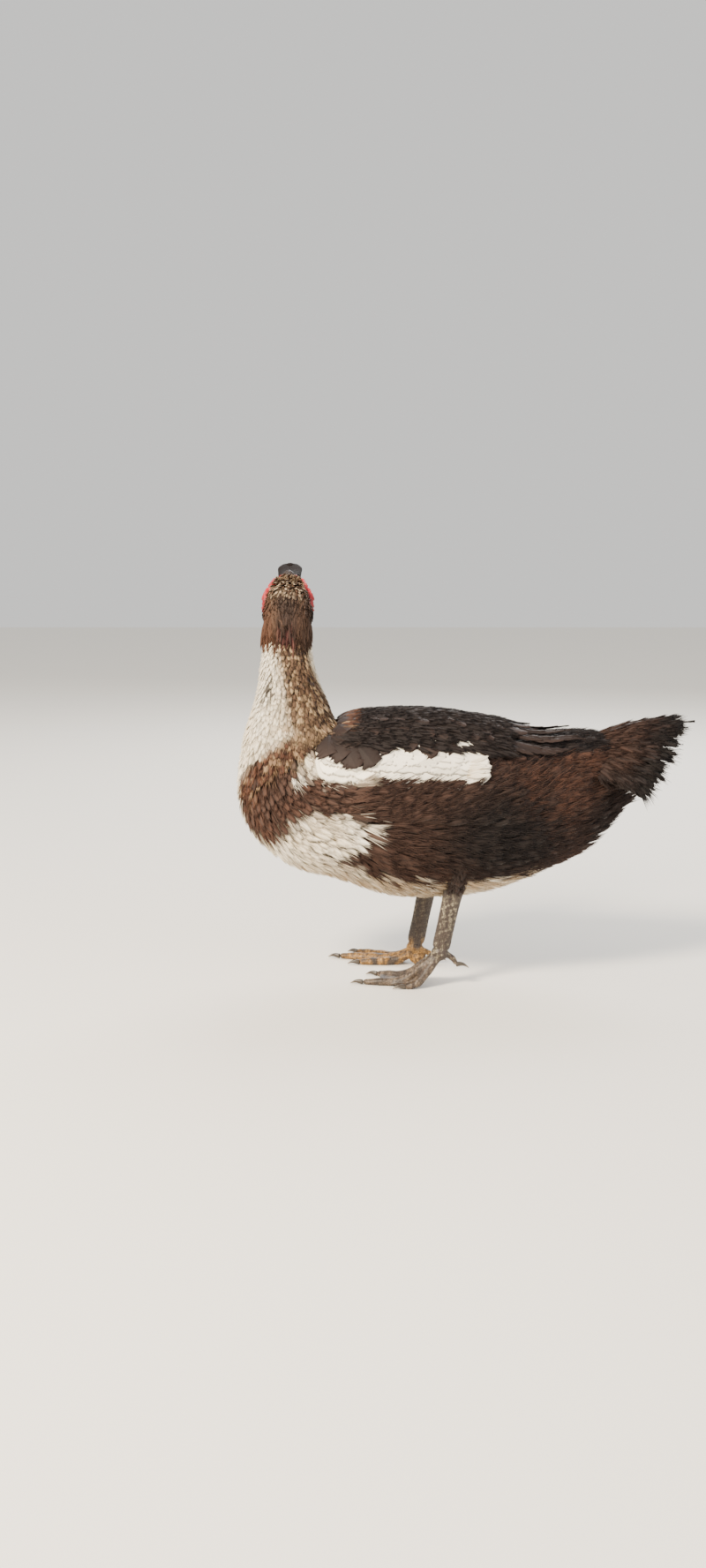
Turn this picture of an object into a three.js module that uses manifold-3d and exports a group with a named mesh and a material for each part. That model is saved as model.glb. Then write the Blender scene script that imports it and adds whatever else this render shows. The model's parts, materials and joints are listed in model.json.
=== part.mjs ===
// A life-size muscovy duck, standing, with its head turned away over its right side and its bill raised.
// Millimetres, +Z up. The breast faces -X, the tail points to +X and the duck's left side is -Y.
import * as THREE from "three";
import { mergeVertices } from "three/addons/utils/BufferGeometryUtils.js";
import Module from "manifold-3d";

const wasm = await Module();
wasm.setup();

// Sizes shared by every piece.
const GAP = 0.3;
const SLIVER = 0.02;
const LEFT = 1;
const RIGHT = -1;
const SIDES = { left: LEFT, right: RIGHT };

// Trunk and neck, from the tail head (rung 0) to inside the skull (rung 13). Each rung joins a point of
// the back line to a point of the belly line, as [x, z], with the half width of the body between them.
const BODY_RUNGS = [
  { back: [150, 248], belly: [148, 166], half: 20 },
  { back: [114, 253], belly: [116, 133], half: 42 },
  { back: [72, 251], belly: [70, 109], half: 60 },
  { back: [20, 260], belly: [22, 91], half: 73 },
  { back: [-28, 267], belly: [-26, 86], half: 78 },
  { back: [-72, 268], belly: [-74, 87], half: 79 },
  { back: [-102, 266], belly: [-126, 103], half: 75 },
  { back: [-119, 264], belly: [-176, 117], half: 68 },
  { back: [-127, 262], belly: [-214, 149], half: 59 },
  { back: [-133, 267], belly: [-228, 188], half: 49 },
  { back: [-139, 283], belly: [-223, 243], half: 38 },
  { back: [-147, 303], belly: [-209, 291], half: 30 },
  { back: [-153, 328], belly: [-204, 325], half: 25.5 },
  { back: [-155, 352], belly: [-199, 353], half: 22.5 },
];
const BODY_ROUND = 2.25;
const TAIL_CUT = 1.15;
const NECK_CUT = 9.3;
const NECK_MIDDLE = 11.1;
const NECK_TOP = 12.9;

// Skull with its feathers, in the head's own frame: x forward, y to the head's left, z up.
const HEAD_RUNGS = [
  { back: [-33, 5], belly: [-31, -18], half: 12 },
  { back: [-25, 17.5], belly: [-22, -25], half: 20.5 },
  { back: [-11, 24], belly: [-10, -26], half: 25 },
  { back: [5, 24.5], belly: [6, -23], half: 24 },
  { back: [19, 21], belly: [19, -19], half: 19.5 },
  { back: [31, 15.5], belly: [31, -15], half: 14.5 },
];
const HEAD_ROUND = 2.2;
const HEAD_CENTRE = new THREE.Vector3(-177.5, 10, 375);
const HEAD_PITCH = THREE.MathUtils.degToRad(33);
const OCCIPUT = new THREE.Vector3(-36, 0, -6);

// Bill, in the head's frame.
const BILL_ROUND = 2.6;
const BILL_BASE = 31 + GAP;
const UPPER_BILL_RUNGS = [
  { back: [BILL_BASE, 15], belly: [BILL_BASE, -6.6], half: 13.4 },
  { back: [39, 12.2], belly: [39, -7], half: 12.4 },
  { back: [51, 6.8], belly: [51, -6.2], half: 11.4 },
  { back: [63, 2.2], belly: [63, -5.8], half: 12 },
  { back: [74, -0.4], belly: [74, -6.8], half: 12.2 },
  { back: [80.5, -2], belly: [80.5, -7.8], half: 8.8 },
];
const UPPER_BILL_TIP = new THREE.Vector3(83, 0, -5.2);
const LOWER_BILL_RUNGS = [
  { back: [BILL_BASE, -7.3], belly: [BILL_BASE, -14.2], half: 11 },
  { back: [39, -7.7], belly: [39, -13.6], half: 10.6 },
  { back: [51, -6.9], belly: [51, -11.8], half: 9.8 },
  { back: [63, -6.5], belly: [63, -10.9], half: 10.2 },
  { back: [74, -7.5], belly: [74, -11.1], half: 9.6 },
];
const LOWER_BILL_TIP = new THREE.Vector3(79.4, 0, -9.6);
const NOSTRIL = { at: new THREE.Vector3(46, 8.2, 5), long: 4, tall: 1.8, deep: 3 };
const NAIL = { from: 75.5, to: 84.4, half: 4.3, thick: 1.3, hook: 5 };

// Eyes and the bare face round them.
const EYE_RADIUS = 5.6;
const EYE = { rung: 3.25, angle: 1.2, sunk: 3 };
const LID = { ring: 5, tube: 1.35, lift: 2 };
const FACE = { fromRung: 2.45, toRung: 4.95, fromAngle: 0.72, toAngle: 1.78, thick: 2 };

// Wings and shoulder feathers: each has a core that lies on the trunk's side, between two rungs and two
// angles from the back line, and tiers of vanes that grow from the core.
const WING = { front: 8.25, rear: 3.3, top: 0.9, bottom: 1.38, thick: 5, edge: 1.4, lift: 1 };
const SCAPULARS = { front: 7.9, rear: 2.3, top: 0.07, bottom: 0.72, thick: 5, edge: 1.6, lift: 1 };

// A tier of vanes: how many, where their roots start and end, how far each reaches in rungs and in
// angle, how wide and thick it is, how high its root and tip lie, and how blunt its tip is.
const tierPlan = (count, firstRoot, lastRoot, reach, wide, rise, blunt) => {
  return { count, root: [firstRoot, lastRoot], reach, wide, rise, blunt };
};
const WING_TIERS = [
  tierPlan(6, [7.6, 1.3], [4.3, 1.32], [-0.8, 0.13], 22, [1.4, 5], 0.5),
  tierPlan(6, [7.9, 1.04], [4.2, 1.1], [-1.0, 0.14], 22, [4, 8], 0.6),
];
const SCAPULAR_TIERS = [
  tierPlan(6, [7.5, 0.58], [4.7, 0.62], [-0.8, 0.31], 28, [3.4, 9.2], 0.85),
  tierPlan(4, [4.15, 0.5], [3, 0.58], [-1.3, 0.2], 19, [2.8, 5], 0.25),
  tierPlan(5, [7.6, 0.26], [4, 0.26], [-1.0, 0.24], 25, [5, 9.6], 0.6),
  tierPlan(2, [2.9, 0.14], [2.75, 0.38], [-1.3, 0.08], 17, [2.6, 4.4], 0.2),
];

// Growing flight feathers behind the wing, still in their round sheaths.
const QUILLS = {
  count: 6,
  from: [3.7, 1.02],
  to: [3.6, 1.3],
  reach: -0.62,
  wide: 3.4,
  thick: 2.8,
  rise: [2.6, 5],
};
const TIER = { thick: 0.8, tilt: -2.2, stray: 0.08 };

// Tail fan: roots and tips of its feathers, from the middle pair out to each side. Its coverts are
// shorter tiers above and below, and the lower ones spring from the end of the trunk.
const FAN = {
  root: [122, 240],
  rootHalf: 21,
  rootDrop: 22,
  tip: [231, 262],
  arch: 6,
  shorter: 52,
  left: { spread: 57, drop: 76 },
  right: { spread: 68, drop: 46 },
};
const RECTRICES = { count: 13, start: 0.02, end: [0.93, 1], wide: 21, thick: 1.2, tilt: 3.6, blunt: 0.4 };
const UPPER_COVERTS = [
  { count: 7, spread: 0.84, start: -0.04, end: [0.55, 0.68], wide: 24, lift: 4.2 },
  { count: 5, spread: 0.6, start: -0.08, end: [0.3, 0.38], wide: 24, lift: 9 },
];
const COVERT = { thick: 0.9, tilt: 2.4, blunt: 0.3 };
const LOWER_COVERTS = [
  { rung: 0.85, angles: [1.0, 2.85], count: 4, long: 66, toTail: 0.35, wide: 22, splay: 0.2 },
  { rung: 0.42, angles: [1.1, 2.7], count: 4, long: 64, toTail: 0.5, wide: 20, splay: 0.16 },
];
const RAGGED = { thick: 0.9, tilt: 2.2, blunt: 0.12 };
const LOOSE_COVERTS = { rung: 0.35, angle: 1.5, count: 2, long: 64, wide: 9, thick: 1 };

// Low crest: tiers over the crown, and locks that hang from the nape over the top of the neck.
const CREST_TIERS = [
  { rung: 3.5, count: 3, spread: 0.45 },
  { rung: 2.6, count: 4, spread: 0.75 },
];
const CREST = { reach: -1.05, wide: 11, thick: 0.7, rise: [-2.4, 2.2], tilt: 1.4, blunt: 0.2 };
const NAPE = {
  rung: 1.05,
  spread: 1.75,
  count: 7,
  long: 29,
  wide: 15,
  thick: 0.8,
  tilt: 1.8,
  blunt: 0.3,
  splay: 0.2,
};
const NAPE_FALL = new THREE.Vector3(-0.56, 0, -0.83);

// How deep the roots of locks and coverts are sunk into the body they grow from.
const LOCK_ROOT = -3.5;
const COVERT_ROOT = -4;

// Starts of the draws that vary each set of feathers. The right side's sets start further on.
const SEEDS = { nape: 5, rectrices: 11, upperCoverts: 23, lowerCoverts: 37, scapulars: 51, wing: 61 };
const QUILL_SEED = 71;
const RIGHT_SEEDS = 7;

// Warty bulbs of bare skin: along the upper edge of each side of the face, and over the bill's base.
const BULBS = [
  { rung: 4.72, angle: 0.82, radius: 2.8 },
  { rung: 4.3, angle: 0.76, radius: 2.2 },
  { rung: 4.66, angle: 1.3, radius: 2.2 },
];
const KNOB = { at: new THREE.Vector3(31.8, 0, 16), radius: 5.2 };

// Legs. Each foot is given by its hock, its ankle and the paths of its toes out to the claws.
const LEGS = {
  left: {
    knee: [-4, -46, 147],
    hock: [-12, -45, 103],
    ankle: [-26, -42, 34],
    hind: [[-20, -41, 33], [-13, -40, 28], [-9, -40, 22]],
    inner: [[-28, -41, 33], [-44, -30, 18], [-60, -18, 5.6], [-76, -9, 3.5], [-88, -4, 2.7]],
    middle: [[-29, -42, 33], [-46, -42, 18], [-62, -41, 5.8], [-84, -39, 3.7], [-103, -36, 2.7]],
    outer: [[-28, -43, 32], [-38, -47, 18], [-48, -51, 6.4], [-55, -53, 3.7], [-61, -54, 2.7]],
  },
  right: {
    knee: [-25, 46, 141],
    hock: [-33, 45, 93],
    ankle: [-48, 45, 18],
    hind: [[-42, 45, 16], [-33, 45.5, 12], [-27, 46, 7]],
    heel: [-45, 44.5, 8],
    inner: [[-50, 44, 14], [-66, 43, 5.4], [-80, 42, 4], [-94, 42, 3.4], [-106, 42.5, 2.7]],
    middle: [[-51, 46, 14], [-71, 52, 5.6], [-91, 58, 4.2], [-110, 64, 3.6], [-127, 69, 2.7]],
    outer: [[-50, 48, 14], [-66, 59, 5.4], [-82, 70, 4], [-96, 80, 3.4], [-108, 88, 2.7]],
  },
};
const TOE_WIDTHS = [6.6, 5.6, 5.3, 4.5, 3.5];
const PAD = 8.6;
const CLAW = { long: 11.5, wide: 2.4, tall: 2.4, drop: 4 };
const WEB = { thick: 1.7, scallop: 0.22 };
const SCUTES = { tarsus: 6, toe: 4, step: 0.55 };

// Colours of the finishes.
const PAINT = {
  chocolate: { color: 0x4a342b, roughness: 0.75, metalness: 0 },
  russet: { color: 0x7a4e38, roughness: 0.8, metalness: 0 },
  cream: { color: 0xe9e0cf, roughness: 0.85, metalness: 0 },
  face: { color: 0xd9545c, roughness: 0.5, metalness: 0 },
  horn: { color: 0x3a3532, roughness: 0.45, metalness: 0 },
  scale: { color: 0x7d7168, roughness: 0.65, metalness: 0 },
  claw: { color: 0x2c2724, roughness: 0.4, metalness: 0 },
  eye: { color: 0x3b2414, roughness: 0.08, metalness: 0 },
};

const vector = ([x, y, z]) => new THREE.Vector3(x, y, z);

// A closed geometry from points and faces, turned so that its faces point out.
function closedGeometry(points, faces) {
  let volume = 0;
  for (const [a, b, c] of faces) {
    volume += points[a].dot(points[b].clone().cross(points[c]));
  }
  const turned = volume < 0 ? faces.map(([a, b, c]) => [a, c, b]) : faces;
  const geometry = new THREE.BufferGeometry().setFromPoints(points);
  geometry.setIndex(turned.flat());
  return geometry;
}

// A closed body through rings of points, shut at each end by a fan to one point. The second half of the
// way round is split along the other diagonals, so both faces of a thin vane bend along the same lines.
function loft(rings, first, last) {
  const sides = rings[0].length;
  const points = [first, ...rings.flat(), last];
  const end = points.length - 1;
  const at = (ring, side) => 1 + ring * sides + (side % sides);
  const faces = [];
  for (let side = 0; side < sides; side++) {
    faces.push([0, at(0, side + 1), at(0, side)]);
    faces.push([end, at(rings.length - 1, side), at(rings.length - 1, side + 1)]);
    for (let ring = 0; ring + 1 < rings.length; ring++) {
      const quad = [at(ring, side), at(ring, side + 1), at(ring + 1, side + 1), at(ring + 1, side)];
      const [a, b, c, d] = side < sides / 2 ? quad : [...quad.slice(1), quad[0]];
      faces.push([a, b, c], [a, c, d]);
    }
  }
  return closedGeometry(points, faces);
}

// A closed plate between two grids of points, split into triangles alike on both faces.
function slab(top, bottom) {
  const rows = top.length;
  const columns = top[0].length;
  const points = [...top.flat(), ...bottom.flat()];
  const at = (layer, row, column) => layer * rows * columns + row * columns + column;
  const faces = [];
  const quad = (a, b, c, d) => faces.push([a, b, c], [a, c, d]);
  for (let row = 0; row + 1 < rows; row++) {
    for (let column = 0; column + 1 < columns; column++) {
      quad(at(0, row, column), at(0, row, column + 1), at(0, row + 1, column + 1), at(0, row + 1, column));
      quad(at(1, row, column), at(1, row + 1, column), at(1, row + 1, column + 1), at(1, row, column + 1));
    }
    quad(at(0, row + 1, 0), at(1, row + 1, 0), at(1, row, 0), at(0, row, 0));
    const last = columns - 1;
    quad(at(0, row, last), at(1, row, last), at(1, row + 1, last), at(0, row + 1, last));
  }
  for (let column = 0; column + 1 < columns; column++) {
    quad(at(0, 0, column), at(1, 0, column), at(1, 0, column + 1), at(0, 0, column + 1));
    const last = rows - 1;
    quad(at(0, last, column + 1), at(1, last, column + 1), at(1, last, column), at(0, last, column));
  }
  return closedGeometry(points, faces);
}

// The manifold solid of a closed geometry, with points closer than the reach made one.
function solidOf(geometry, reach = 1e-4) {
  const bare = geometry.clone();
  bare.deleteAttribute("normal");
  bare.deleteAttribute("uv");
  const merged = mergeVertices(bare, reach);
  const mesh = new wasm.Mesh({
    numProp: 3,
    vertProperties: merged.attributes.position.array,
    triVerts: new Uint32Array(merged.index.array),
  });
  return new wasm.Manifold(mesh);
}

// The geometry of the largest closed surface of a solid, without its slivers. Where it is welded, points
// that all but touch are made one first, because that can pinch off a sliver between two vanes.
function geometryOf(solid, weld = false) {
  const bodies = solid.simplify(SLIVER).decompose();
  bodies.sort((a, b) => b.volume() - a.volume());
  const mesh = bodies[0].getMesh();
  const geometry = new THREE.BufferGeometry();
  geometry.setAttribute("position", new THREE.BufferAttribute(new Float32Array(mesh.vertProperties), 3));
  geometry.setIndex([...mesh.triVerts]);
  return weld ? geometryOf(solidOf(geometry, 2e-3)) : geometry;
}

// Closed geometries joined into one, less the ones that cut it.
function joined(pieces, cutters = [], weld = false) {
  let solid = pieces.map((piece) => solidOf(piece)).reduce((all, piece) => all.add(piece));
  for (const cutter of cutters) {
    solid = solid.subtract(solidOf(cutter));
  }
  return geometryOf(solid, weld);
}

// A surface between a back line and a belly line. Its function gives the point and the normal at a rung,
// an angle from the back line, positive to the side named, and a lift off the surface.
function rungSurface(rungs, round, leftward) {
  const line = (key) => {
    const knots = rungs.map((rung) => new THREE.Vector3(rung[key][0], rung.half, rung[key][1]));
    return new THREE.CatmullRomCurve3(knots);
  };
  const backLine = line("back");
  const bellyLine = line("belly");
  const last = rungs.length - 1;
  const bare = (rung, angle) => {
    const share = THREE.MathUtils.clamp(rung / last, 0, 1);
    const back = backLine.getPoint(share);
    const belly = bellyLine.getPoint(share);
    const c = Math.cos(angle);
    const s = Math.sin(angle);
    const reach = (Math.abs(c) ** round + Math.abs(s) ** round) ** (-1 / round);
    const up = (1 + c * reach) / 2;
    return new THREE.Vector3(
      THREE.MathUtils.lerp(belly.x, back.x, up),
      leftward * back.y * s * reach,
      THREE.MathUtils.lerp(belly.z, back.z, up),
    );
  };
  const step = 0.02;
  return (rung, angle, lift = 0) => {
    const point = bare(rung, angle);
    const along = bare(rung + step, angle).sub(bare(rung - step, angle));
    const around = bare(rung, angle + step).sub(bare(rung, angle - step));
    const normal = around.cross(along).normalize();
    const middle = bare(rung, 0).add(bare(rung, Math.PI)).multiplyScalar(0.5);
    if (normal.dot(point.clone().sub(middle)) < 0) normal.negate();
    return { point: point.addScaledVector(normal, lift), normal };
  };
}

// Rings of a surface from one rung to another.
function ringsOf(surface, from, to, count, sides, lift = 0) {
  return Array.from({ length: count }, (_, ring) => {
    const rung = THREE.MathUtils.lerp(from, to, ring / (count - 1));
    return Array.from({ length: sides }, (_, side) => {
      return surface(rung, (side / sides) * 2 * Math.PI, lift).point;
    });
  });
}

const middleOf = (ring) =>
  ring.reduce((sum, point) => sum.add(point), new THREE.Vector3()).divideScalar(ring.length);

// A ring moved along its own axis, which leaves room beside a thin cut.
function moved(ring, distance) {
  const middle = middleOf(ring);
  const quarter = Math.floor(ring.length / 4);
  const axis = ring[0].clone().sub(middle).cross(ring[quarter].clone().sub(middle)).normalize();
  return ring.map((point) => point.clone().addScaledVector(axis, distance));
}

// A plate that lies on a surface between two rungs and two angles, thickest in its middle.
function plateOn(surface, { front, rear, top, bottom, thick, edge, lift }, rows, columns) {
  const grid = (raise) =>
    Array.from({ length: rows }, (_, row) =>
      Array.from({ length: columns }, (_, column) => {
        const u = row / (rows - 1);
        const v = column / (columns - 1);
        const bulge = (Math.sin(Math.PI * u) * Math.sin(Math.PI * v)) ** 0.5;
        const rung = THREE.MathUtils.lerp(front, rear, u);
        const angle = THREE.MathUtils.lerp(top, bottom, v);
        return surface(rung, angle, lift + raise * (edge + (thick - edge) * bulge)).point;
      }),
    );
  return slab(grid(1), grid(0));
}

// A bent tube of oval sections through stations [point, half width, half height], with pointed ends.
// Scutes are plates across its upper side, each a step higher at its start than at its end.
function limb(stations, sides, upright, scutes = 0) {
  const path = new THREE.CatmullRomCurve3(stations.map(([point]) => point));
  const last = stations.length - 1;
  const girth = (share, index) => {
    const from = Math.min(last - 1, Math.floor(share * last));
    return THREE.MathUtils.lerp(stations[from][index], stations[from + 1][index], share * last - from);
  };
  const even = stations.map((_, index) => ({ share: index / last, step: 0 }));
  const stepped = Array.from({ length: 2 * scutes }, (_, index) => ({
    share: (Math.floor(index / 2) + (index % 2 ? 0.96 : 0.02)) / scutes,
    step: index % 2 ? 0 : SCUTES.step,
  }));
  const rings = (scutes ? stepped : even).map(({ share, step }) => {
    const middle = path.getPoint(share);
    const along = path.getTangent(share);
    const across = along.clone().cross(upright).normalize();
    const over = across.clone().cross(along).normalize();
    return Array.from({ length: sides }, (_, side) => {
      const angle = (side / sides) * 2 * Math.PI;
      const raised = step * Math.max(0, Math.sin(angle));
      return middle
        .clone()
        .addScaledVector(across, girth(share, 1) * Math.cos(angle))
        .addScaledVector(over, girth(share, 2) * Math.sin(angle) + raised);
    });
  });
  const ends = [0, last].map((index) => {
    const outward = path.getTangent(index / last).multiplyScalar(index ? 1 : -1);
    return path.getPoint(index / last).addScaledVector(outward, stations[index][1] * 0.5);
  });
  return loft(rings, ends[0], ends[1]);
}

// A steady stream of draws between -1 and 1, the same for the same seed.
function drawsFrom(seed) {
  let state = seed;
  return () => {
    state = (state * 16807) % 2147483647;
    return (state / 2147483647) * 2 - 1;
  };
}

// A feather's vane over a surface, from one place on it to another. It is a thin plate that swells from
// its root and narrows to its tip, and it leans so that one edge slips under its neighbour.
function vaneOn(surface, { from, to, wide, thick, rise, tilt, blunt }) {
  const place = (share, lift) =>
    surface(THREE.MathUtils.lerp(from[0], to[0], share), THREE.MathUtils.lerp(from[1], to[1], share), lift);
  const lifted = (share) => THREE.MathUtils.lerp(rise[0], rise[1], Math.max(0, share) ** 0.8);
  const stations = [
    [0, 0.5],
    [0.48, 1],
    [0.88, 1 - (1 - blunt) * 0.6],
  ];
  const rings = stations.map(([share, swell]) => {
    const { point, normal } = place(share, lifted(share));
    const ahead = place(share + 0.04, lifted(share)).point.sub(place(share - 0.04, lifted(share)).point);
    const across = ahead.cross(normal).normalize();
    const thin = (thick / 2) * (1 - 0.35 * share);
    const corner = (side, up) =>
      point
        .clone()
        .addScaledVector(across, (side * wide * swell) / 2)
        .addScaledVector(normal, up * thin + (side * tilt) / 2);
    return [corner(-1, 1), corner(1, 1), corner(1, -1), corner(-1, -1)];
  });
  return loft(rings, middleOf(rings[0]), place(1, lifted(1)).point);
}

// The vanes of one tier, each a little different from the next.
function tierOn(surface, tier, side, seed) {
  const draw = drawsFrom(seed);
  const stray = () => 1 + TIER.stray * draw();
  return Array.from({ length: tier.count }, (_, index) => {
    const share = index / (tier.count - 1);
    const rung = THREE.MathUtils.lerp(tier.root[0][0], tier.root[1][0], share);
    const angle = THREE.MathUtils.lerp(tier.root[0][1], tier.root[1][1], share);
    return vaneOn(surface, {
      ...tier,
      from: [rung, angle * side],
      to: [rung + tier.reach[0] * stray(), (angle + tier.reach[1] * stray()) * side],
      wide: tier.wide * stray(),
      thick: TIER.thick,
      tilt: TIER.tilt * side,
    });
  });
}

const bodyOn = rungSurface(BODY_RUNGS, BODY_ROUND, -1);
const headOn = rungSurface(HEAD_RUNGS, HEAD_ROUND, 1);
const ANKLE_UP = new THREE.Vector3(0, 0, 1);
const LEG_FRONT = new THREE.Vector3(-1, 0, 0);

function bodyPiece(from, to, count, sides, { startGap = true, endGap = true } = {}) {
  const rings = ringsOf(bodyOn, from, to, count, sides);
  const nearer = moved(rings[0], 1)[0].distanceTo(rings[1][0]) < rings[0][0].distanceTo(rings[1][0]);
  const sign = nearer ? 1 : -1;
  if (startGap) rings[0] = moved(rings[0], (sign * GAP) / 2);
  if (endGap) rings[count - 1] = moved(rings[count - 1], (-sign * GAP) / 2);
  return loft(rings, middleOf(rings[0]), middleOf(rings[count - 1]));
}

function ballAt(centre, radius) {
  return new THREE.SphereGeometry(radius, 8, 6).translate(centre.x, centre.y, centre.z);
}

function torso() {
  const trunk = bodyPiece(TAIL_CUT, NECK_CUT, 18, 20);
  return joined([trunk], [thighShape(LEGS.left, GAP), thighShape(LEGS.right, GAP)]);
}

function headShell(lift = 0) {
  const rings = ringsOf(headOn, 0, HEAD_RUNGS.length - 1, 10, 18, lift);
  const occiput = OCCIPUT.clone().add(new THREE.Vector3(-lift, 0, 0));
  return loft(rings, occiput, middleOf(rings[rings.length - 1]));
}

function eyeCentre(side) {
  return headOn(EYE.rung, EYE.angle * side, -EYE.sunk).point;
}

function eyeball(side, grow = 0) {
  const centre = eyeCentre(side);
  return new THREE.SphereGeometry(EYE_RADIUS + grow, 12, 8).translate(centre.x, centre.y, centre.z);
}

// A ring of skin round the eye, set square to the head's surface.
function lid(side) {
  const { point, normal } = headOn(EYE.rung, EYE.angle * side, LID.lift);
  const turn = new THREE.Quaternion().setFromUnitVectors(new THREE.Vector3(0, 0, 1), normal);
  return new THREE.TorusGeometry(LID.ring, LID.tube, 5, 12)
    .scale(1.12, 0.94, 1)
    .applyQuaternion(turn)
    .translate(point.x, point.y, point.z);
}

function faceSkin(side) {
  const spread = {
    front: FACE.fromRung,
    rear: FACE.toRung,
    top: FACE.fromAngle * side,
    bottom: FACE.toAngle * side,
    thick: FACE.thick,
    edge: 0.7,
    lift: 0.6,
  };
  const bulbs = BULBS.map(({ rung, angle, radius }) =>
    ballAt(headOn(rung, angle * side, 0.8 + radius).point, radius),
  );
  return joined([plateOn(headOn, spread, 4, 5), lid(side), ...bulbs], [eyeball(side, GAP)]);
}

// The small knob of warts over the root of the bill.
function knob() {
  const room = [headShell(GAP), billPiece(UPPER_BILL_RUNGS, UPPER_BILL_TIP, 2 * GAP)];
  return joined([ballAt(KNOB.at, KNOB.radius)], room);
}

function crest() {
  return CREST_TIERS.flatMap(({ rung, count, spread }) =>
    Array.from({ length: count }, (_, index) => {
      const angle = spread * (-1 + (2 * index) / (count - 1));
      return vaneOn(headOn, { ...CREST, from: [rung, angle], to: [rung + CREST.reach, angle * 1.08] });
    }),
  );
}

// Locks of the nape, which hang in a half ring round the back of the skull.
function napeLocks() {
  const draw = drawsFrom(SEEDS.nape);
  return Array.from({ length: NAPE.count }, (_, index) => {
    const angle = NAPE.spread * (-1 + (2 * index) / (NAPE.count - 1));
    const { point, normal } = headOn(NAPE.rung, angle, LOCK_ROOT);
    return straightVane(point, NAPE_FALL, normal, { ...NAPE, long: NAPE.long * (1 + 0.12 * draw()) });
  });
}

// The skull with its crest. The nape's locks are trimmed clear of the neck that they hang over.
function headPiece(headMatrix) {
  const rings = ringsOf(bodyOn, NECK_MIDDLE, NECK_TOP, 5, 24, GAP);
  const neck = loft(rings, middleOf(rings[0]), middleOf(rings[4]));
  neck.applyMatrix4(headMatrix.clone().invert());
  const locks = napeLocks().map((lock) => joined([lock], [neck]));
  return joined([headShell(), ...crest(), ...locks], [eyeball(LEFT, GAP), eyeball(RIGHT, GAP)]);
}

function billPiece(rungs, tip, lift = 0) {
  const surface = rungSurface(rungs, BILL_ROUND, 1);
  const rings = ringsOf(surface, 0, rungs.length - 1, 7, 12, lift);
  rings[0].forEach((point) => point.setX(point.x - lift));
  return loft(rings, middleOf(rings[0]), tip);
}

function nostril(side) {
  const { at, long, tall, deep } = NOSTRIL;
  return new THREE.SphereGeometry(1, 6, 5).scale(long, deep, tall).translate(at.x, at.y * side, at.z);
}

function upperBill() {
  const bill = billPiece(UPPER_BILL_RUNGS, UPPER_BILL_TIP);
  return joined([bill], [nostril(LEFT), nostril(RIGHT), nail(GAP)]);
}

// The hard hooked plate at the end of the upper bill.
function nail(grow = 0) {
  const { from, to, half, thick, hook } = NAIL;
  const rows = 5;
  const grid = (raise) =>
    Array.from({ length: rows }, (_, row) => {
      const u = row / (rows - 1);
      const x = THREE.MathUtils.lerp(from - grow, to + grow, u);
      const z = -1.2 - hook * u ** 2.4;
      const wide = (half + grow) * Math.sqrt(Math.max(0.12, 1 - (2 * u - 0.9) ** 2 * 0.8));
      return [-1, -0.5, 0, 0.5, 1].map(
        (v) => new THREE.Vector3(x, wide * v, z - 1.6 * v * v * 0.6 + raise * (thick / 2 + grow) + 0.4),
      );
    });
  return slab(grid(1), grid(-1.6));
}

function lowerBill() {
  return billPiece(LOWER_BILL_RUNGS, LOWER_BILL_TIP);
}

// One point of the tail fan: along a feather from its root (0) to its tip (1), and across from the middle
// (0) to the outermost on the duck's left (1) or right (-1).
function fanOn(along, across, lift = 0) {
  const bare = (r, u) => {
    const side = u >= 0 ? FAN.left : FAN.right;
    const out = Math.abs(u);
    const root = new THREE.Vector3(FAN.root[0], -FAN.rootHalf * u, FAN.root[1] - FAN.rootDrop * out ** 1.5);
    const tip = new THREE.Vector3(
      FAN.tip[0] - FAN.shorter * out ** 1.5,
      -side.spread * u,
      FAN.tip[1] - side.drop * out ** 1.25,
    );
    return root.lerp(tip, r).add(new THREE.Vector3(0, 0, FAN.arch * Math.sin(Math.PI * Math.min(1, r))));
  };
  const point = bare(along, across);
  const step = 0.02;
  const lengthwise = bare(along + step, across).sub(bare(along - step, across));
  const crosswise = bare(along, across + step).sub(bare(along, across - step));
  const normal = crosswise.cross(lengthwise).normalize();
  if (normal.z < 0) normal.negate();
  return { point: point.addScaledVector(normal, lift), normal };
}

function rectrices() {
  const { count, start, end, wide, thick, tilt, blunt } = RECTRICES;
  const draw = drawsFrom(SEEDS.rectrices);
  return Array.from({ length: count }, (_, index) => {
    const across = -1 + (2 * index) / (count - 1);
    const reach = THREE.MathUtils.lerp(end[0], end[1], 0.5 + 0.5 * draw());
    const lean = tilt * (across < 0 ? -1 : 1);
    return vaneOn(fanOn, {
      from: [start, across], to: [reach, across], wide, thick, rise: [0, 0], tilt: lean, blunt,
    });
  });
}

function upperCoverts() {
  return UPPER_COVERTS.flatMap(({ count, spread, start, end, wide, lift }, tier) => {
    const draw = drawsFrom(SEEDS.upperCoverts + tier);
    return Array.from({ length: count }, (_, index) => {
      const across = spread * (-1 + (2 * index) / (count - 1));
      const reach = THREE.MathUtils.lerp(end[0], end[1], 0.5 + 0.5 * draw());
      const tilt = COVERT.tilt * (across < 0 ? -1 : 1);
      return vaneOn(fanOn, {
        ...COVERT, from: [start, across], to: [reach, across], wide, rise: [lift, lift], tilt,
      });
    });
  });
}

// A vane that leaves a point in one direction and opens away from it along a normal.
function straightVane(root, ahead, normal, { long, splay, ...vane }) {
  const out = normal.clone().addScaledVector(ahead, -normal.dot(ahead)).normalize();
  const across = ahead.clone().cross(out);
  const plane = (share, side, lift) => ({
    point: root
      .clone()
      .addScaledVector(ahead, share * long)
      .addScaledVector(out, lift + splay * long * Math.max(0, share) ** 1.4)
      .addScaledVector(across, side),
    normal: out.clone(),
  });
  return vaneOn(plane, { ...vane, from: [0, 0], to: [1, 0], rise: [0, 0] });
}

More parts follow.
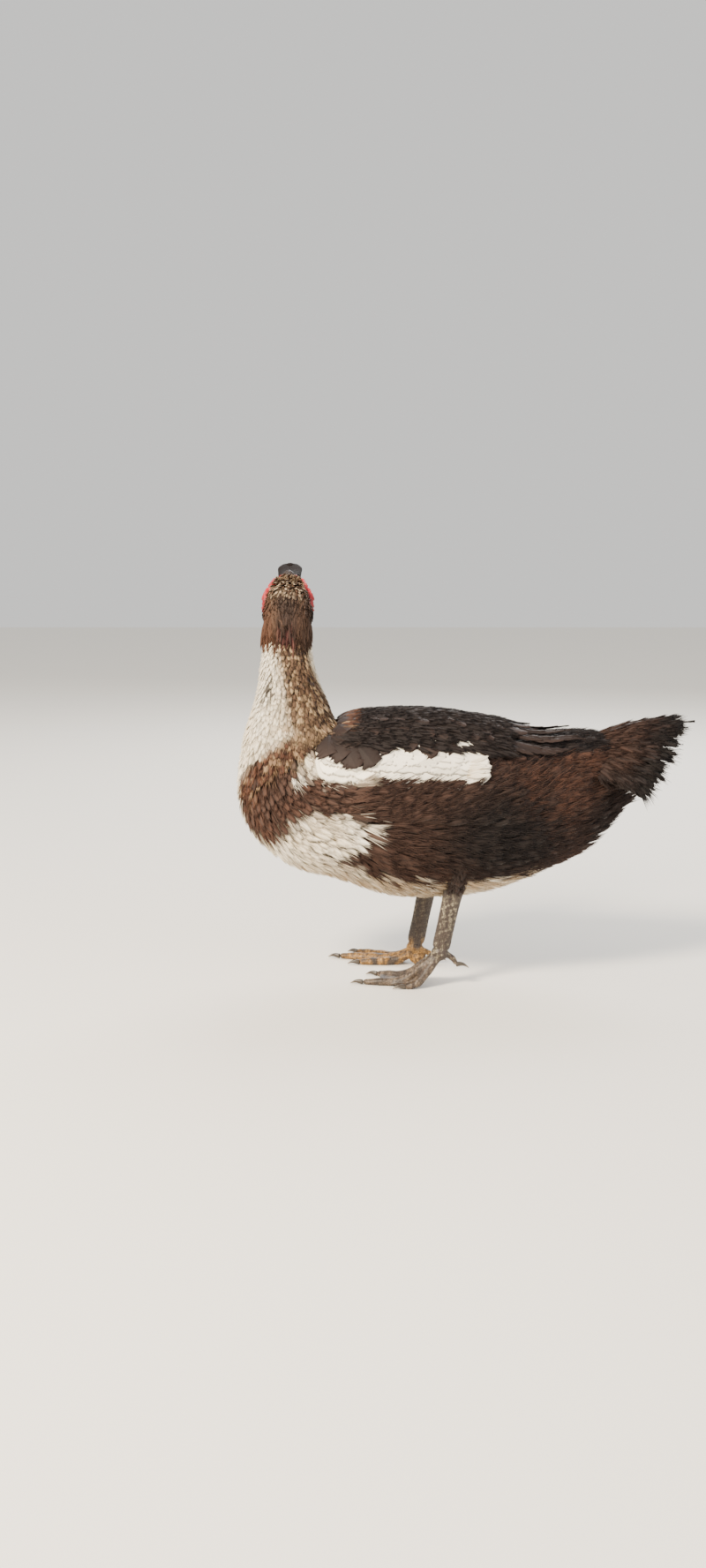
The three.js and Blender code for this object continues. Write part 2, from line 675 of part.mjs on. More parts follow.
// Ragged feathers under the tail. Each grows from the end of the trunk and turns towards the fan.
function lowerCoverts() {
  return LOWER_COVERTS.flatMap(({ rung, angles, count, long, toTail, wide, splay }, tier) => {
    const draw = drawsFrom(SEEDS.lowerCoverts + tier);
    return Object.values(SIDES).flatMap((side) =>
      Array.from({ length: count }, (_, index) => {
        const share = index / (count - 1);
        const angle = THREE.MathUtils.lerp(angles[0], angles[1], share) * side;
        const { point, normal } = bodyOn(rung, angle, COVERT_ROOT);
        const ahead = new THREE.Vector3(1, 0, toTail * (1 - share) + 0.12).normalize();
        return straightVane(point, ahead, normal, {
          ...RAGGED,
          long: long * (1 + 0.14 * draw()) * (1 - 0.3 * share),
          wide,
          splay: splay + 0.04 * draw(),
          tilt: RAGGED.tilt * side,
        });
      }),
    );
  });
}

// Two long dirty feathers that hang from the underside of the tail on the duck's left.
function looseCoverts() {
  const { rung, angle, count, long, wide, thick } = LOOSE_COVERTS;
  return Array.from({ length: count }, (_, index) => {
    const { point, normal } = bodyOn(rung, angle * LEFT, COVERT_ROOT);
    const ahead = new THREE.Vector3(0.95 - 0.12 * index, -0.12, -0.28 - 0.16 * index).normalize();
    return straightVane(point, ahead, normal, { long, wide, thick, blunt: 0.4, splay: 0.2, tilt: 0 });
  });
}

function tail() {
  const core = bodyPiece(0, TAIL_CUT, 5, 20, { startGap: false });
  const vanes = [...rectrices(), ...upperCoverts(), ...lowerCoverts(), ...looseCoverts()];
  return joined([core, ...vanes], [], true);
}

const mirrored = (plan, side) => ({ ...plan, top: plan.top * side, bottom: plan.bottom * side });

// Every tier of a wing or of the shoulder feathers. Those of the shoulder are broad in front, and long
// and narrow behind.
function tiersOn(tiers, side, seed) {
  const start = seed + (side < 0 ? RIGHT_SEEDS : 0);
  return tiers.flatMap((tier, index) => tierOn(bodyOn, tier, side, start + index));
}

function scapulars(side) {
  const core = plateOn(bodyOn, mirrored(SCAPULARS, side), 9, 5);
  return joined([core, ...tiersOn(SCAPULAR_TIERS, side, SEEDS.scapulars)]);
}

// Stubs of growing flight feathers behind the wing.
function quills(side) {
  const { count, from, to, reach, wide, thick, rise } = QUILLS;
  const draw = drawsFrom(QUILL_SEED);
  return Array.from({ length: count }, (_, index) => {
    const share = index / (count - 1);
    const rung = THREE.MathUtils.lerp(from[0], to[0], share);
    const angle = THREE.MathUtils.lerp(from[1], to[1], share);
    const end = [rung + reach * (1 + 0.2 * draw()), (angle + 0.05 * draw() - 0.12 * (1 - share)) * side];
    return vaneOn(bodyOn, {
      from: [rung, angle * side], to: end, wide, thick, rise, blunt: 0.9, tilt: 0,
    });
  });
}

function wing(side) {
  const core = plateOn(bodyOn, mirrored(WING, side), 7, 5);
  return joined([core, ...tiersOn(WING_TIERS, side, SEEDS.wing), ...quills(side)]);
}

function neckLower() {
  return bodyPiece(NECK_CUT, NECK_MIDDLE, 6, 24);
}

function neckUpper(headMatrix) {
  const neck = bodyPiece(NECK_MIDDLE, NECK_TOP, 5, 24, { endGap: false });
  return joined([neck], [headShell(GAP).applyMatrix4(headMatrix)]);
}

// The feathered upper leg, set into the trunk's side and narrowing to the hock.
function thighShape(leg, grow = 0) {
  const knee = vector(leg.knee);
  const hock = vector(leg.hock);
  const along = (share) => knee.clone().lerp(hock, share);
  const stations = [
    [along(-0.1), 13 + grow, 10 + grow],
    [along(0.2), 23 + grow, 18 + grow],
    [along(0.6), 20 + grow, 15.5 + grow],
    [along(1), 11.5 + grow, 10.5 + grow],
    [along(1.08), 8 + grow, 8 + grow],
  ];
  return limb(stations, 14, LEG_FRONT);
}

function trunkShape(lift) {
  const rings = ringsOf(bodyOn, 1, 9, 20, 24, lift);
  return loft(rings, middleOf(rings[0]), middleOf(rings[19]));
}

function tarsusShape(leg, grow = 0) {
  const hock = vector(leg.hock);
  const ankle = vector(leg.ankle);
  const along = (share) => hock.clone().lerp(ankle, share);
  const stations = [
    [along(-0.12), 6 + grow, 8 + grow],
    [along(0.06), 7.2 + grow, 10.4 + grow],
    [along(0.22), 6 + grow, 9.4 + grow],
    [along(0.55), 5.6 + grow, 8.8 + grow],
    [along(0.82), 6.2 + grow, 9 + grow],
    [along(0.95), 7 + grow, 8.8 + grow],
  ];
  return limb(stations, 10, LEG_FRONT, SCUTES.tarsus);
}

function tarsus(leg) {
  return joined([tarsusShape(leg)], [trunkShape(4 * GAP), thighShape(leg, GAP)]);
}

function toe(path) {
  const stations = path.map((point, index) => [vector(point), TOE_WIDTHS[index], TOE_WIDTHS[index] * 0.88]);
  return limb(stations, 8, ANKLE_UP, SCUTES.toe);
}

// The skin stretched between two toes, with a hollowed front edge.
function web(first, second) {
  const paths = [first, second].map((path) => new THREE.CatmullRomCurve3(path.map(vector)));
  const rows = 5;
  const columns = 4;
  const grid = (side) =>
    Array.from({ length: rows }, (_, row) =>
      Array.from({ length: columns }, (_, column) => {
        const across = column / (columns - 1);
        const reach = 0.97 - WEB.scallop * Math.sin(Math.PI * across);
        const share = THREE.MathUtils.lerp(0.06, reach, row / (rows - 1));
        const point = paths[0].getPoint(share).lerp(paths[1].getPoint(share), across);
        const sag = 1.2 * Math.sin(Math.PI * across);
        return point.add(new THREE.Vector3(0, 0, side * (WEB.thick / 2) - sag));
      }),
    );
  return slab(grid(1), grid(-1));
}

// A curved claw that grows from the end of a toe and comes down to the floor.
function claw(path, grow = 0) {
  const end = vector(path[path.length - 1]);
  const before = vector(path[path.length - 2]);
  const ahead = end.clone().sub(before).setZ(0).normalize();
  const down = new THREE.Vector3(0, 0, -1);
  const size = [0, 0.35, 0.7, 1];
  const stations = size.map((share) => [
    end
      .clone()
      .addScaledVector(ahead, 1.2 + CLAW.long * share)
      .addScaledVector(down, share ** 1.8 * Math.min(end.z - 0.7, CLAW.drop)),
    Math.max(0.35, CLAW.wide * (1 - share * 0.85)) + grow,
    Math.max(0.4, CLAW.tall * (1 - share * 0.85)) + grow,
  ]);
  return limb(stations, 6, ANKLE_UP);
}

const below = () => new THREE.BoxGeometry(600, 600, 40).translate(0, 0, -20);

function foot(leg) {
  const toes = [leg.inner, leg.middle, leg.outer];
  const webs = [web(leg.inner, leg.middle), web(leg.middle, leg.outer)];
  const pads = [leg.ankle, leg.heel].filter(Boolean).map((place) => ballAt(vector(place), PAD));
  const room = [tarsusShape(leg, GAP), ...[...toes, leg.hind].map((path) => claw(path, GAP))];
  return joined([...toes.map(toe), ...webs, ...pads, hindToe(leg)], [below(), ...room]);
}

// The small raised toe at the back of the ankle.
function hindToe(leg) {
  const stations = leg.hind.map((point, index) => [vector(point), 4 - index * 0.7, 4.2 - index * 0.8]);
  return limb(stations, 10, ANKLE_UP);
}

// Everything in place.
const duck = new THREE.Group();
const head = new THREE.Group();
head.position.copy(HEAD_CENTRE);
head.rotation.set(0, -HEAD_PITCH, Math.PI / 2, "ZYX");
duck.add(head);
head.updateMatrixWorld(true);

function add(parent, name, geometry, paint) {
  const mesh = new THREE.Mesh(geometry, new THREE.MeshStandardMaterial(PAINT[paint]));
  mesh.name = name;
  parent.add(mesh);
}

add(duck, "torso", torso(), "russet");
add(duck, "neck_lower", neckLower(), "cream");
add(duck, "neck_upper", neckUpper(head.matrixWorld), "russet");
add(duck, "tail", tail(), "chocolate");
add(head, "head", headPiece(head.matrixWorld), "russet");
add(head, "bill_upper", upperBill(), "horn");
add(head, "bill_lower", lowerBill(), "horn");
add(head, "bill_nail", nail(), "horn");
add(head, "knob", knob(), "face");
for (const [name, side] of Object.entries(SIDES)) {
  add(head, `eye_${name}`, eyeball(side), "eye");
  add(head, `face_skin_${name}`, faceSkin(side), "face");
  add(duck, `wing_${name}`, wing(side), "cream");
  add(duck, `scapulars_${name}`, scapulars(side), "chocolate");
  const leg = LEGS[name];
  add(duck, `thigh_${name}`, thighShape(leg), "chocolate");
  add(duck, `tarsus_${name}`, tarsus(leg), "scale");
  add(duck, `foot_${name}`, foot(leg), "scale");
  for (const toeName of ["inner", "middle", "outer", "hind"]) {
    add(duck, `claw_${toeName}_${name}`, claw(leg[toeName]), "claw");
  }
}

// The origin is the middle of the duck's footprint box, on the floor.
duck.updateMatrixWorld(true);
const box = new THREE.Box3().setFromObject(duck, true);
duck.position.set(-(box.min.x + box.max.x) / 2, -(box.min.y + box.max.y) / 2, -box.min.z);

export default duck;
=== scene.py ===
# %% [markdown]
# A life-size still model of a muscovy duck, such as a museum shows. It stands with its head turned
# away and its bill raised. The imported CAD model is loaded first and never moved, so that every piece
# made here can be laid where the solids are.

# %% Load the frame
import json
import math

import bmesh
import bpy
import numpy as np
from mathutils.kdtree import KDTree
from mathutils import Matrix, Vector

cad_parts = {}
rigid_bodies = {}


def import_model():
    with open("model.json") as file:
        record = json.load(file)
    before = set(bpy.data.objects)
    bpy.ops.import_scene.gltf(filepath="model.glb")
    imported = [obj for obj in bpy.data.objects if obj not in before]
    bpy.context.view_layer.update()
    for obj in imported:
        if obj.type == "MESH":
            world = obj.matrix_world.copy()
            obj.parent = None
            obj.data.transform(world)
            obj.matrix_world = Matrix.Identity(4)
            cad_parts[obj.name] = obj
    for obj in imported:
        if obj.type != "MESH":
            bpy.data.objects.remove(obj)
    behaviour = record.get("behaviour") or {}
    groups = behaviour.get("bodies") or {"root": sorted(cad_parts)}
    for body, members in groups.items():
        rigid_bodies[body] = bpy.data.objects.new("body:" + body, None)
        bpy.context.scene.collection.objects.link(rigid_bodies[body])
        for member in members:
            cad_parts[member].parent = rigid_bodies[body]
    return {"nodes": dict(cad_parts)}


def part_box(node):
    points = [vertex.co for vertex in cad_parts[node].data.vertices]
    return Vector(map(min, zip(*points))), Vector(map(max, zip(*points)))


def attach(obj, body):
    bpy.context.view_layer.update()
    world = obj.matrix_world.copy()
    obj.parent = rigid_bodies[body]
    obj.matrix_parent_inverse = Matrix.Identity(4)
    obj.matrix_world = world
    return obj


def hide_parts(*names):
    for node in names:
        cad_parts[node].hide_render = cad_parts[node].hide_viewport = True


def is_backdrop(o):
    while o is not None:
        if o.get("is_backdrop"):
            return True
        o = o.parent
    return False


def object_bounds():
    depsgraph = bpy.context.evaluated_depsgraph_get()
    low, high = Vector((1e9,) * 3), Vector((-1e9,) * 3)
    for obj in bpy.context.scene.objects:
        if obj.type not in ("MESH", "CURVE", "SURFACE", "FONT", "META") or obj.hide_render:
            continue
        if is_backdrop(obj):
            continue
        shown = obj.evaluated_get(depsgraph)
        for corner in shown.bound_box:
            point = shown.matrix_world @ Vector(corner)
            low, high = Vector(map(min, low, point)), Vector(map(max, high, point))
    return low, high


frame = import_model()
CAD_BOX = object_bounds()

MM = 0.001
EYE_MIDDLE = np.array([-177.5, 12.15])
eye_boxes = [np.array(corner) for node_name in ("eye_left", "eye_right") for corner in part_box(node_name)]
SHIFT = np.array([*(np.mean(eye_boxes, axis=0)[:2] / MM - EYE_MIDDLE), 0.0])


def metres(points):
    """Drawing points in millimetres as points of the frame in metres."""
    return (np.asarray(points, float) + SHIFT) * MM


print("nodes", len(frame["nodes"]), "shift mm", SHIFT.round(3).tolist())

# %% [markdown]
# The camera stands where the photograph was taken from: low, to the duck's left and a little above it.
# Its height, distance and lens were worked out from the horizon and from the usual size of such a bird.

# %% Camera
scene = bpy.context.scene


def linked(name, data):
    """A new object that holds the data, in the scene."""
    made = bpy.data.objects.new(name, data)
    scene.collection.objects.link(made)
    return made


DOWN_DEGREES = 8.638
camera_data = bpy.data.cameras.new("camera")
camera_data.lens = 39.14
camera_data.sensor_width = 36
camera = linked("camera", camera_data)
camera.location = metres([-112.6, -1700, 456.5])
camera.rotation_euler = (math.radians(90 - DOWN_DEGREES), 0, 0)
scene.camera = camera
print("camera", [round(x, 3) for x in camera.location])

# %% [markdown]
# Colours are written as they look on a screen, in hex, and turned to linear values by one function.
# One small helper adds a node, shader or geometry alike, with its settings and its links.


# %% Colours and nodes
def linear(hex_code):
    """An sRGB hex colour as three linear numbers."""
    parts = np.array([int(hex_code[i : i + 2], 16) / 255 for i in (1, 3, 5)])
    return np.where(parts <= 0.04045, parts / 12.92, ((parts + 0.055) / 1.055) ** 2.4)


def rgba(hex_code):
    return (*linear(hex_code), 1.0)


def feed(target, inputs):
    """Sets inputs of a node to values, or links them to the sockets that feed them."""
    for key, value in inputs.items():
        if isinstance(value, bpy.types.NodeSocket):
            target.id_data.links.new(value, target.inputs[key])
        else:
            target.inputs[key].default_value = value


def node(tree, kind, inputs=None, **settings):
    """Adds a node; inputs holds values or the sockets that feed it."""
    made = tree.nodes.new(kind)
    for key, value in settings.items():
        setattr(made, key, value)
    feed(made, inputs or {})
    return made


def shader_of(name):
    """A new material, its node tree and its main shader."""
    material = bpy.data.materials.new(name)
    material.use_nodes = True
    return material, material.node_tree, material.node_tree.nodes["Principled BSDF"]


# %% [markdown]
# The floor is a plain pale sheet and the light is soft, as in a studio. The brightest lamp stands in
# front of the bird and to its left, where the sun was, so the shadows fall the same way.

# %% Floor and light
floor_board, _, floor_shader = shader_of("matt painted board")
feed(floor_shader, {"Base Color": rgba("#F0ECE4"), "Roughness": 0.9})
FLOOR_HALF = 6.0
floor_mesh = bpy.data.meshes.new("floor")
floor_mesh.from_pydata(
    [(x * FLOOR_HALF, y * FLOOR_HALF, 0) for x, y in ((-1, -1), (1, -1), (1, 1), (-1, 1))], [], [(0, 1, 2, 3)]
)
floor_mesh.materials.append(floor_board)
floor = linked("floor", floor_mesh)
floor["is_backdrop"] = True

LIT_PLACE = np.array([-0.02, 0, 0.2])
LAMPS = [
    # name, place, size, watts, colour
    ("key", (-1.5, -1.6, 1.9), 0.7, 190, "#FFEFD8"),
    ("fill", (1.7, -1.5, 1.1), 1.8, 22, "#F3F4FF"),
    ("back", (0.4, 1.8, 1.7), 1.4, 52, "#FFFFFF"),
]
for lamp_name, place, size, watts, colour in LAMPS:
    lamp_data = bpy.data.lights.new(lamp_name, "AREA")
    lamp_data.size = size
    lamp_data.energy = watts
    lamp_data.color = linear(colour)
    lamp = linked(lamp_name, lamp_data)
    lamp.location = place
    aim = LIT_PLACE - np.array(place)
    heading = math.atan2(aim[1], aim[0]) - math.pi / 2
    lamp.rotation_euler = (math.pi / 2 + math.atan2(aim[2], math.hypot(aim[0], aim[1])), 0, heading)
world = bpy.data.worlds.new("soft room")
scene.world = world
world.use_nodes = True
feed(world.node_tree.nodes["Background"], {"Color": rgba("#F2F1EE"), "Strength": 1.0})

# %% [markdown]
# The body has no straight line in it. It is described by rungs: each joins a point of the back line to
# a point of the belly line and says how wide the body is between them. A smooth line runs through the
# rungs, so a place on the bird is a rung number and an angle from the back line. The skin, the
# markings and each feather use the same description, so they always fit.


# %% The rule of the body's surface
def blend(low, high, share):
    """What lies at a share of the way from low to high."""
    return low + (high - low) * share


def unit(vectors):
    return vectors / np.maximum(np.linalg.norm(vectors, axis=-1, keepdims=True), 1e-9)


def smooth_line(points):
    """A function of a rung number that gives a point of the smooth line through the points."""
    points = np.array(points, float)
    padded = np.vstack([2 * points[0] - points[1], points, 2 * points[-1] - points[-2]])

    def at(rung):
        rung = np.clip(np.asarray(rung, float), 0, len(points) - 1)
        first = np.minimum(rung.astype(int), len(points) - 2)
        t = (rung - first)[..., None]
        a, b, c, d = (padded[first + step] for step in range(4))
        pairs = ((a, b), (b, c), (c, d))
        before, here, after = (np.maximum(((q - p) ** 2).sum(-1), 1e-8)[..., None] ** 0.25 for p, q in pairs)
        leave = ((b - a) / before - (c - a) / (before + here) + (c - b) / here) * here
        arrive = ((c - b) / here - (d - b) / (here + after) + (d - c) / after) * here
        square, cube = 3 * c - 3 * b - 2 * leave - arrive, 2 * b - 2 * c + leave + arrive
        return b + leave * t + square * t**2 + cube * t**3

    return at


RULE_STEP = 0.02


def rung_rule(rungs, roundness, leftward, turn=np.eye(3), shift=np.zeros(3)):
    """A function of rung, angle and lift that gives points and normals, in drawing millimetres."""
    back_line = smooth_line([(x, half, z) for (x, z), _, half in rungs])
    belly_line = smooth_line([(x, half, z) for _, (x, z), half in rungs])

    def bare(rung, angle):
        back, belly = back_line(rung), belly_line(rung)
        c, s = np.cos(angle), np.sin(angle)
        reach = (np.abs(c) ** roundness + np.abs(s) ** roundness) ** (-1 / roundness)
        x, z = (blend(belly[..., k], back[..., k], (1 + c * reach) / 2) for k in (0, 2))
        return np.stack([x, leftward * back[..., 1] * s * reach, z], -1)

    def at(rung, angle, lift=0.0):
        rung, angle = np.broadcast_arrays(np.asarray(rung, float), np.asarray(angle, float))
        ahead, behind = np.minimum(rung + RULE_STEP, len(rungs) - 1), np.maximum(rung - RULE_STEP, 0)
        along = bare(ahead, angle) - bare(behind, angle)
        around = bare(rung, angle + RULE_STEP) - bare(rung, angle - RULE_STEP)
        normal = unit(np.cross(around, along))
        middle = (bare(rung, np.zeros_like(angle)) + bare(rung, np.full_like(angle, math.pi))) / 2
        point = bare(rung, angle)
        normal = np.where(((point - middle) * normal).sum(-1, keepdims=True) < 0, -normal, normal)
        point = point + normal * np.asarray(lift, float)[..., None]
        return point @ turn.T + shift, normal @ turn.T

    return at


# each rung: back point, belly point, half width
BODY_RUNGS = [
    ((150, 248), (148, 166), 20), ((114, 253), (116, 133), 42), ((72, 251), (70, 109), 60),
    ((20, 260), (22, 91), 73), ((-28, 267), (-26, 86), 78), ((-72, 268), (-74, 87), 79),
    ((-102, 266), (-126, 103), 75), ((-119, 264), (-176, 117), 68), ((-127, 262), (-214, 149), 59),
    ((-133, 267), (-228, 188), 49), ((-139, 283), (-223, 243), 38), ((-147, 303), (-209, 291), 30),
    ((-153, 328), (-204, 325), 25.5), ((-155, 352), (-199, 353), 22.5),
]
HEAD_RUNGS = [
    ((-33, 5), (-31, -18), 12), ((-25, 17.5), (-22, -25), 20.5), ((-11, 24), (-10, -26), 25),
    ((5, 24.5), (6, -23), 24), ((19, 21), (19, -19), 19.5), ((31, 15.5), (31, -15), 14.5),
]
HEAD_PITCH = math.radians(33)
HEAD_CENTRE = np.array([-177.5, 10, 375])
HEAD_TURN = np.array([
    [0, -1, 0],
    [math.cos(HEAD_PITCH), 0, -math.sin(HEAD_PITCH)],
    [math.sin(HEAD_PITCH), 0, math.cos(HEAD_PITCH)],
])
BODY_LAST, HEAD_LAST = len(BODY_RUNGS) - 1, len(HEAD_RUNGS) - 1
body_at = rung_rule(BODY_RUNGS, 2.25, -1)
head_at = rung_rule(HEAD_RUNGS, 2.2, 1, HEAD_TURN, HEAD_CENTRE)
print("widest point mm", body_at(np.array([5.0]), np.array([math.pi / 2]))[0].round(1).tolist())

# %% [markdown]
# A limb is a tube of oval sections along a smooth path. The same function gives the feathered thighs,
# the scaly shanks, the toes and the claws, each with its own path and widths.


# %% The rule of a limb
def limb_rule(stations, upright):
    """A function of share (0 to 1), angle and lift along stations of (point, half width, half height)."""
    path = smooth_line([point for point, _, _ in stations])
    sizes = np.array([(wide, tall) for _, wide, tall in stations], float)
    last = len(stations) - 1
    upright = np.asarray(upright, float)

    def at(share, angle, lift=0.0):
        share, angle = np.broadcast_arrays(np.asarray(share, float), np.asarray(angle, float))
        middle = path(share * last)
        along = unit(path(np.minimum(share + 0.01, 1) * last) - path(np.maximum(share - 0.01, 0) * last))
        across = unit(np.cross(along, upright))
        over = unit(np.cross(across, along))
        wide, tall = (np.interp(share * last, range(last + 1), sizes[:, k]) for k in (0, 1))
        close = np.sqrt(np.clip(1 - (np.abs(2 * share - 1)) ** 16, 0, 1))
        c, s = np.cos(angle), np.sin(angle)
        reach_wide = ((wide + lift) * close * c)[..., None]
        reach_tall = ((tall + lift) * close * s)[..., None]
        point = middle + across * reach_wide + over * reach_tall
        return point, unit(across * c[..., None] + over * s[..., None])

    return at


LEG_FRONT = (-1, 0, 0)
UP = (0, 0, 1)
LEGS = {
    "left": {
        "knee": (-4, -46, 147), "hock": (-12, -45, 103), "ankle": (-26, -42, 34),
        "hind": [(-20, -41, 33), (-13, -40, 28), (-9, -40, 22)],
        "inner": [(-28, -41, 33), (-44, -30, 18), (-60, -18, 5.6), (-76, -9, 3.5), (-88, -4, 2.7)],
        "middle": [(-29, -42, 33), (-46, -42, 18), (-62, -41, 5.8), (-84, -39, 3.7), (-103, -36, 2.7)],
        "outer": [(-28, -43, 32), (-38, -47, 18), (-48, -51, 6.4), (-55, -53, 3.7), (-61, -54, 2.7)],
    },
    "right": {
        "knee": (-25, 46, 141), "hock": (-33, 45, 93), "ankle": (-48, 45, 18), "heel": (-45, 44.5, 8),
        "hind": [(-42, 45, 16), (-33, 45.5, 12), (-27, 46, 7)],
        "inner": [(-50, 44, 14), (-66, 43, 5.4), (-80, 42, 4), (-94, 42, 3.4), (-106, 42.5, 2.7)],
        "middle": [(-51, 46, 14), (-71, 52, 5.6), (-91, 58, 4.2), (-110, 64, 3.6), (-127, 69, 2.7)],
        "outer": [(-50, 48, 14), (-66, 59, 5.4), (-82, 70, 4), (-96, 80, 3.4), (-108, 88, 2.7)],
    },
}
# each station: share of the way, half width, half height
THIGH = [(-0.1, 13, 10), (0.2, 23, 18), (0.6, 20, 15.5), (1, 11.5, 10.5), (1.08, 8, 8)]
SHANK = [(-0.12, 6, 8), (0.06, 7.2, 10.4), (0.22, 6, 9.4), (0.55, 5.6, 8.8), (0.82, 6.2, 9), (0.95, 7, 8.8)]


def leg_rules(start, end, table):
    """Each side's rule of the limb between two joints."""
    rules = {}
    for side, leg in LEGS.items():
        first, last = np.array(leg[start], float), np.array(leg[end], float)
        stations = [(blend(first, last, share), wide, tall) for share, wide, tall in table]
        rules[side] = limb_rule(stations, LEG_FRONT)
    return rules


thigh_at = leg_rules("knee", "hock", THIGH)
shank_at = leg_rules("hock", "ankle", SHANK)

# %% [markdown]
# The bird is pied: brown and chestnut patches on cream. A marking is a soft patch at a place on the
# body, with a ragged edge where single feathers of one colour lie over the other. The skin and the
# feathers ask the same function for their colour, so what shows between two feathers matches them.
# A dark patch on the flank's bulge, on its side away from the light, is painted shade.
# The tan bands in the neck's folds are painted shade.

# %% Markings
SHADES = {
    name: linear(code)
    for name, code in {
        "white": "#FAF1DE", "cream": "#EFE2C8", "tan": "#AD9270", "chocolate": "#2C1F1A",
        "black_brown": "#14100E", "chestnut": "#3F2B22", "rust": "#573727", "nape": "#5F4836",
        "head": "#584030", "streak": "#CDB698", "breast": "#4A342A", "back": "#211917",
        "pinkish": "#7C4844", "leg_grey": "#463B33", "leg_ochre": "#A67A3C", "leg_brown": "#6C5B4B",
        "leg_pale": "#D9CBA6", "leg_dark": "#3B302B",
    }.items()
}


def soft(value, low, high):
    """Goes smoothly from 0 at low to 1 at high."""
    t = np.clip((value - low) / (high - low), 0, 1)
    return t * t * (3 - 2 * t)


def ripple(points, size, seed):
    """A smooth random field between about -1 and 1, made of a few waves of about that size in mm."""
    draws = np.random.default_rng(seed)
    total = np.zeros(len(points))
    for _ in range(6):
        wave = draws.normal(size=3)
        wave *= 2 * math.pi / (size * draws.uniform(0.7, 1.5) * np.linalg.norm(wave))
        total += np.sin(points @ wave + draws.uniform(0, 2 * math.pi))
    return total / 3


def patch(points, centre, radii, lean=0.0, edge=0.25):
    """How far inside an oval of the x-z plane each point lies, from 0 outside to 1 inside."""
    x, z = points[:, 0] - centre[0], points[:, 2] - centre[1]
    c, s = math.cos(lean), math.sin(lean)
    reach = np.hypot((x * c + z * s) / radii[0], (z * c - x * s) / radii[1])
    return 1 - soft(reach, 1 - edge, 1 + edge)


def gap_from(flat, start, end):
    """How far each point of a plane lies from the straight piece between two points."""
    side = end - start
    share = np.clip((flat - start) @ side / (side @ side), 0, 1)
    return np.linalg.norm(flat - start - share[:, None] * side, axis=1)


def band(points, line, half, edge=0.35):
    """How close each point of the x-z plane lies to a line, 1 on it and 0 beyond its half width."""
    line = np.array(line, float)
    gaps = [gap_from(points[:, [0, 2]], start, end) for start, end in zip(line[:-1], line[1:])]
    return 1 - soft(np.minimum.reduce(gaps) / half, 1 - edge, 1 + edge)


def region(points, outline, edge):
    """1 inside an outline of the x-z plane and 0 outside it, with an edge that many mm soft."""
    flat = points[:, [0, 2]]
    corners = np.array(outline, float)
    nearest, inside = np.full(len(flat), 1e9), np.zeros(len(flat), bool)
    for start, end in zip(corners, np.roll(corners, -1, axis=0)):
        side = end - start
        nearest = np.minimum(nearest, gap_from(flat, start, end))
        crosses = (start[1] > flat[:, 1]) != (end[1] > flat[:, 1])
        rise = np.where(side[1] == 0, 1e-9, side[1])
        inside ^= crosses & (flat[:, 0] < start[0] + (flat[:, 1] - start[1]) * side[0] / rise)
    return soft(np.where(inside, nearest, -nearest), -edge, edge)


# outlines and lines in the x-z plane
BREAST_BROWN = [
    (-133, 262), (-161, 250), (-172, 228), (-148, 214), (-110, 212), (-112, 186), (-135, 176), (-168, 181),
    (-178, 168), (-206, 150), (-226, 160), (-234, 190), (-222, 216), (-185, 248),
]
FLANK_BROWN = [
    (-134, 198), (-108, 212), (-84, 219), (-30, 222), (-16, 234), (-22, 262), (40, 272), (165, 264),
    (165, 90), (96, 96), (34, 110), (-24, 112), (-52, 106), (-98, 116), (-142, 132), (-108, 150),
    (-104, 170), (-128, 184),
]
SHOULDER_SWEEP = [(-128, 266), (-152, 259), (-182, 243), (-206, 224), (-220, 204)]


def painted(points, base, layers):
    """A base shade under layers of (shade, weight at each point), laid in turn."""
    colours = np.repeat(SHADES[base][None], len(points), 0)
    for name, weight in layers:
        colours = blend(colours, SHADES[name], np.clip(weight, 0, 1)[:, None])
    return colours


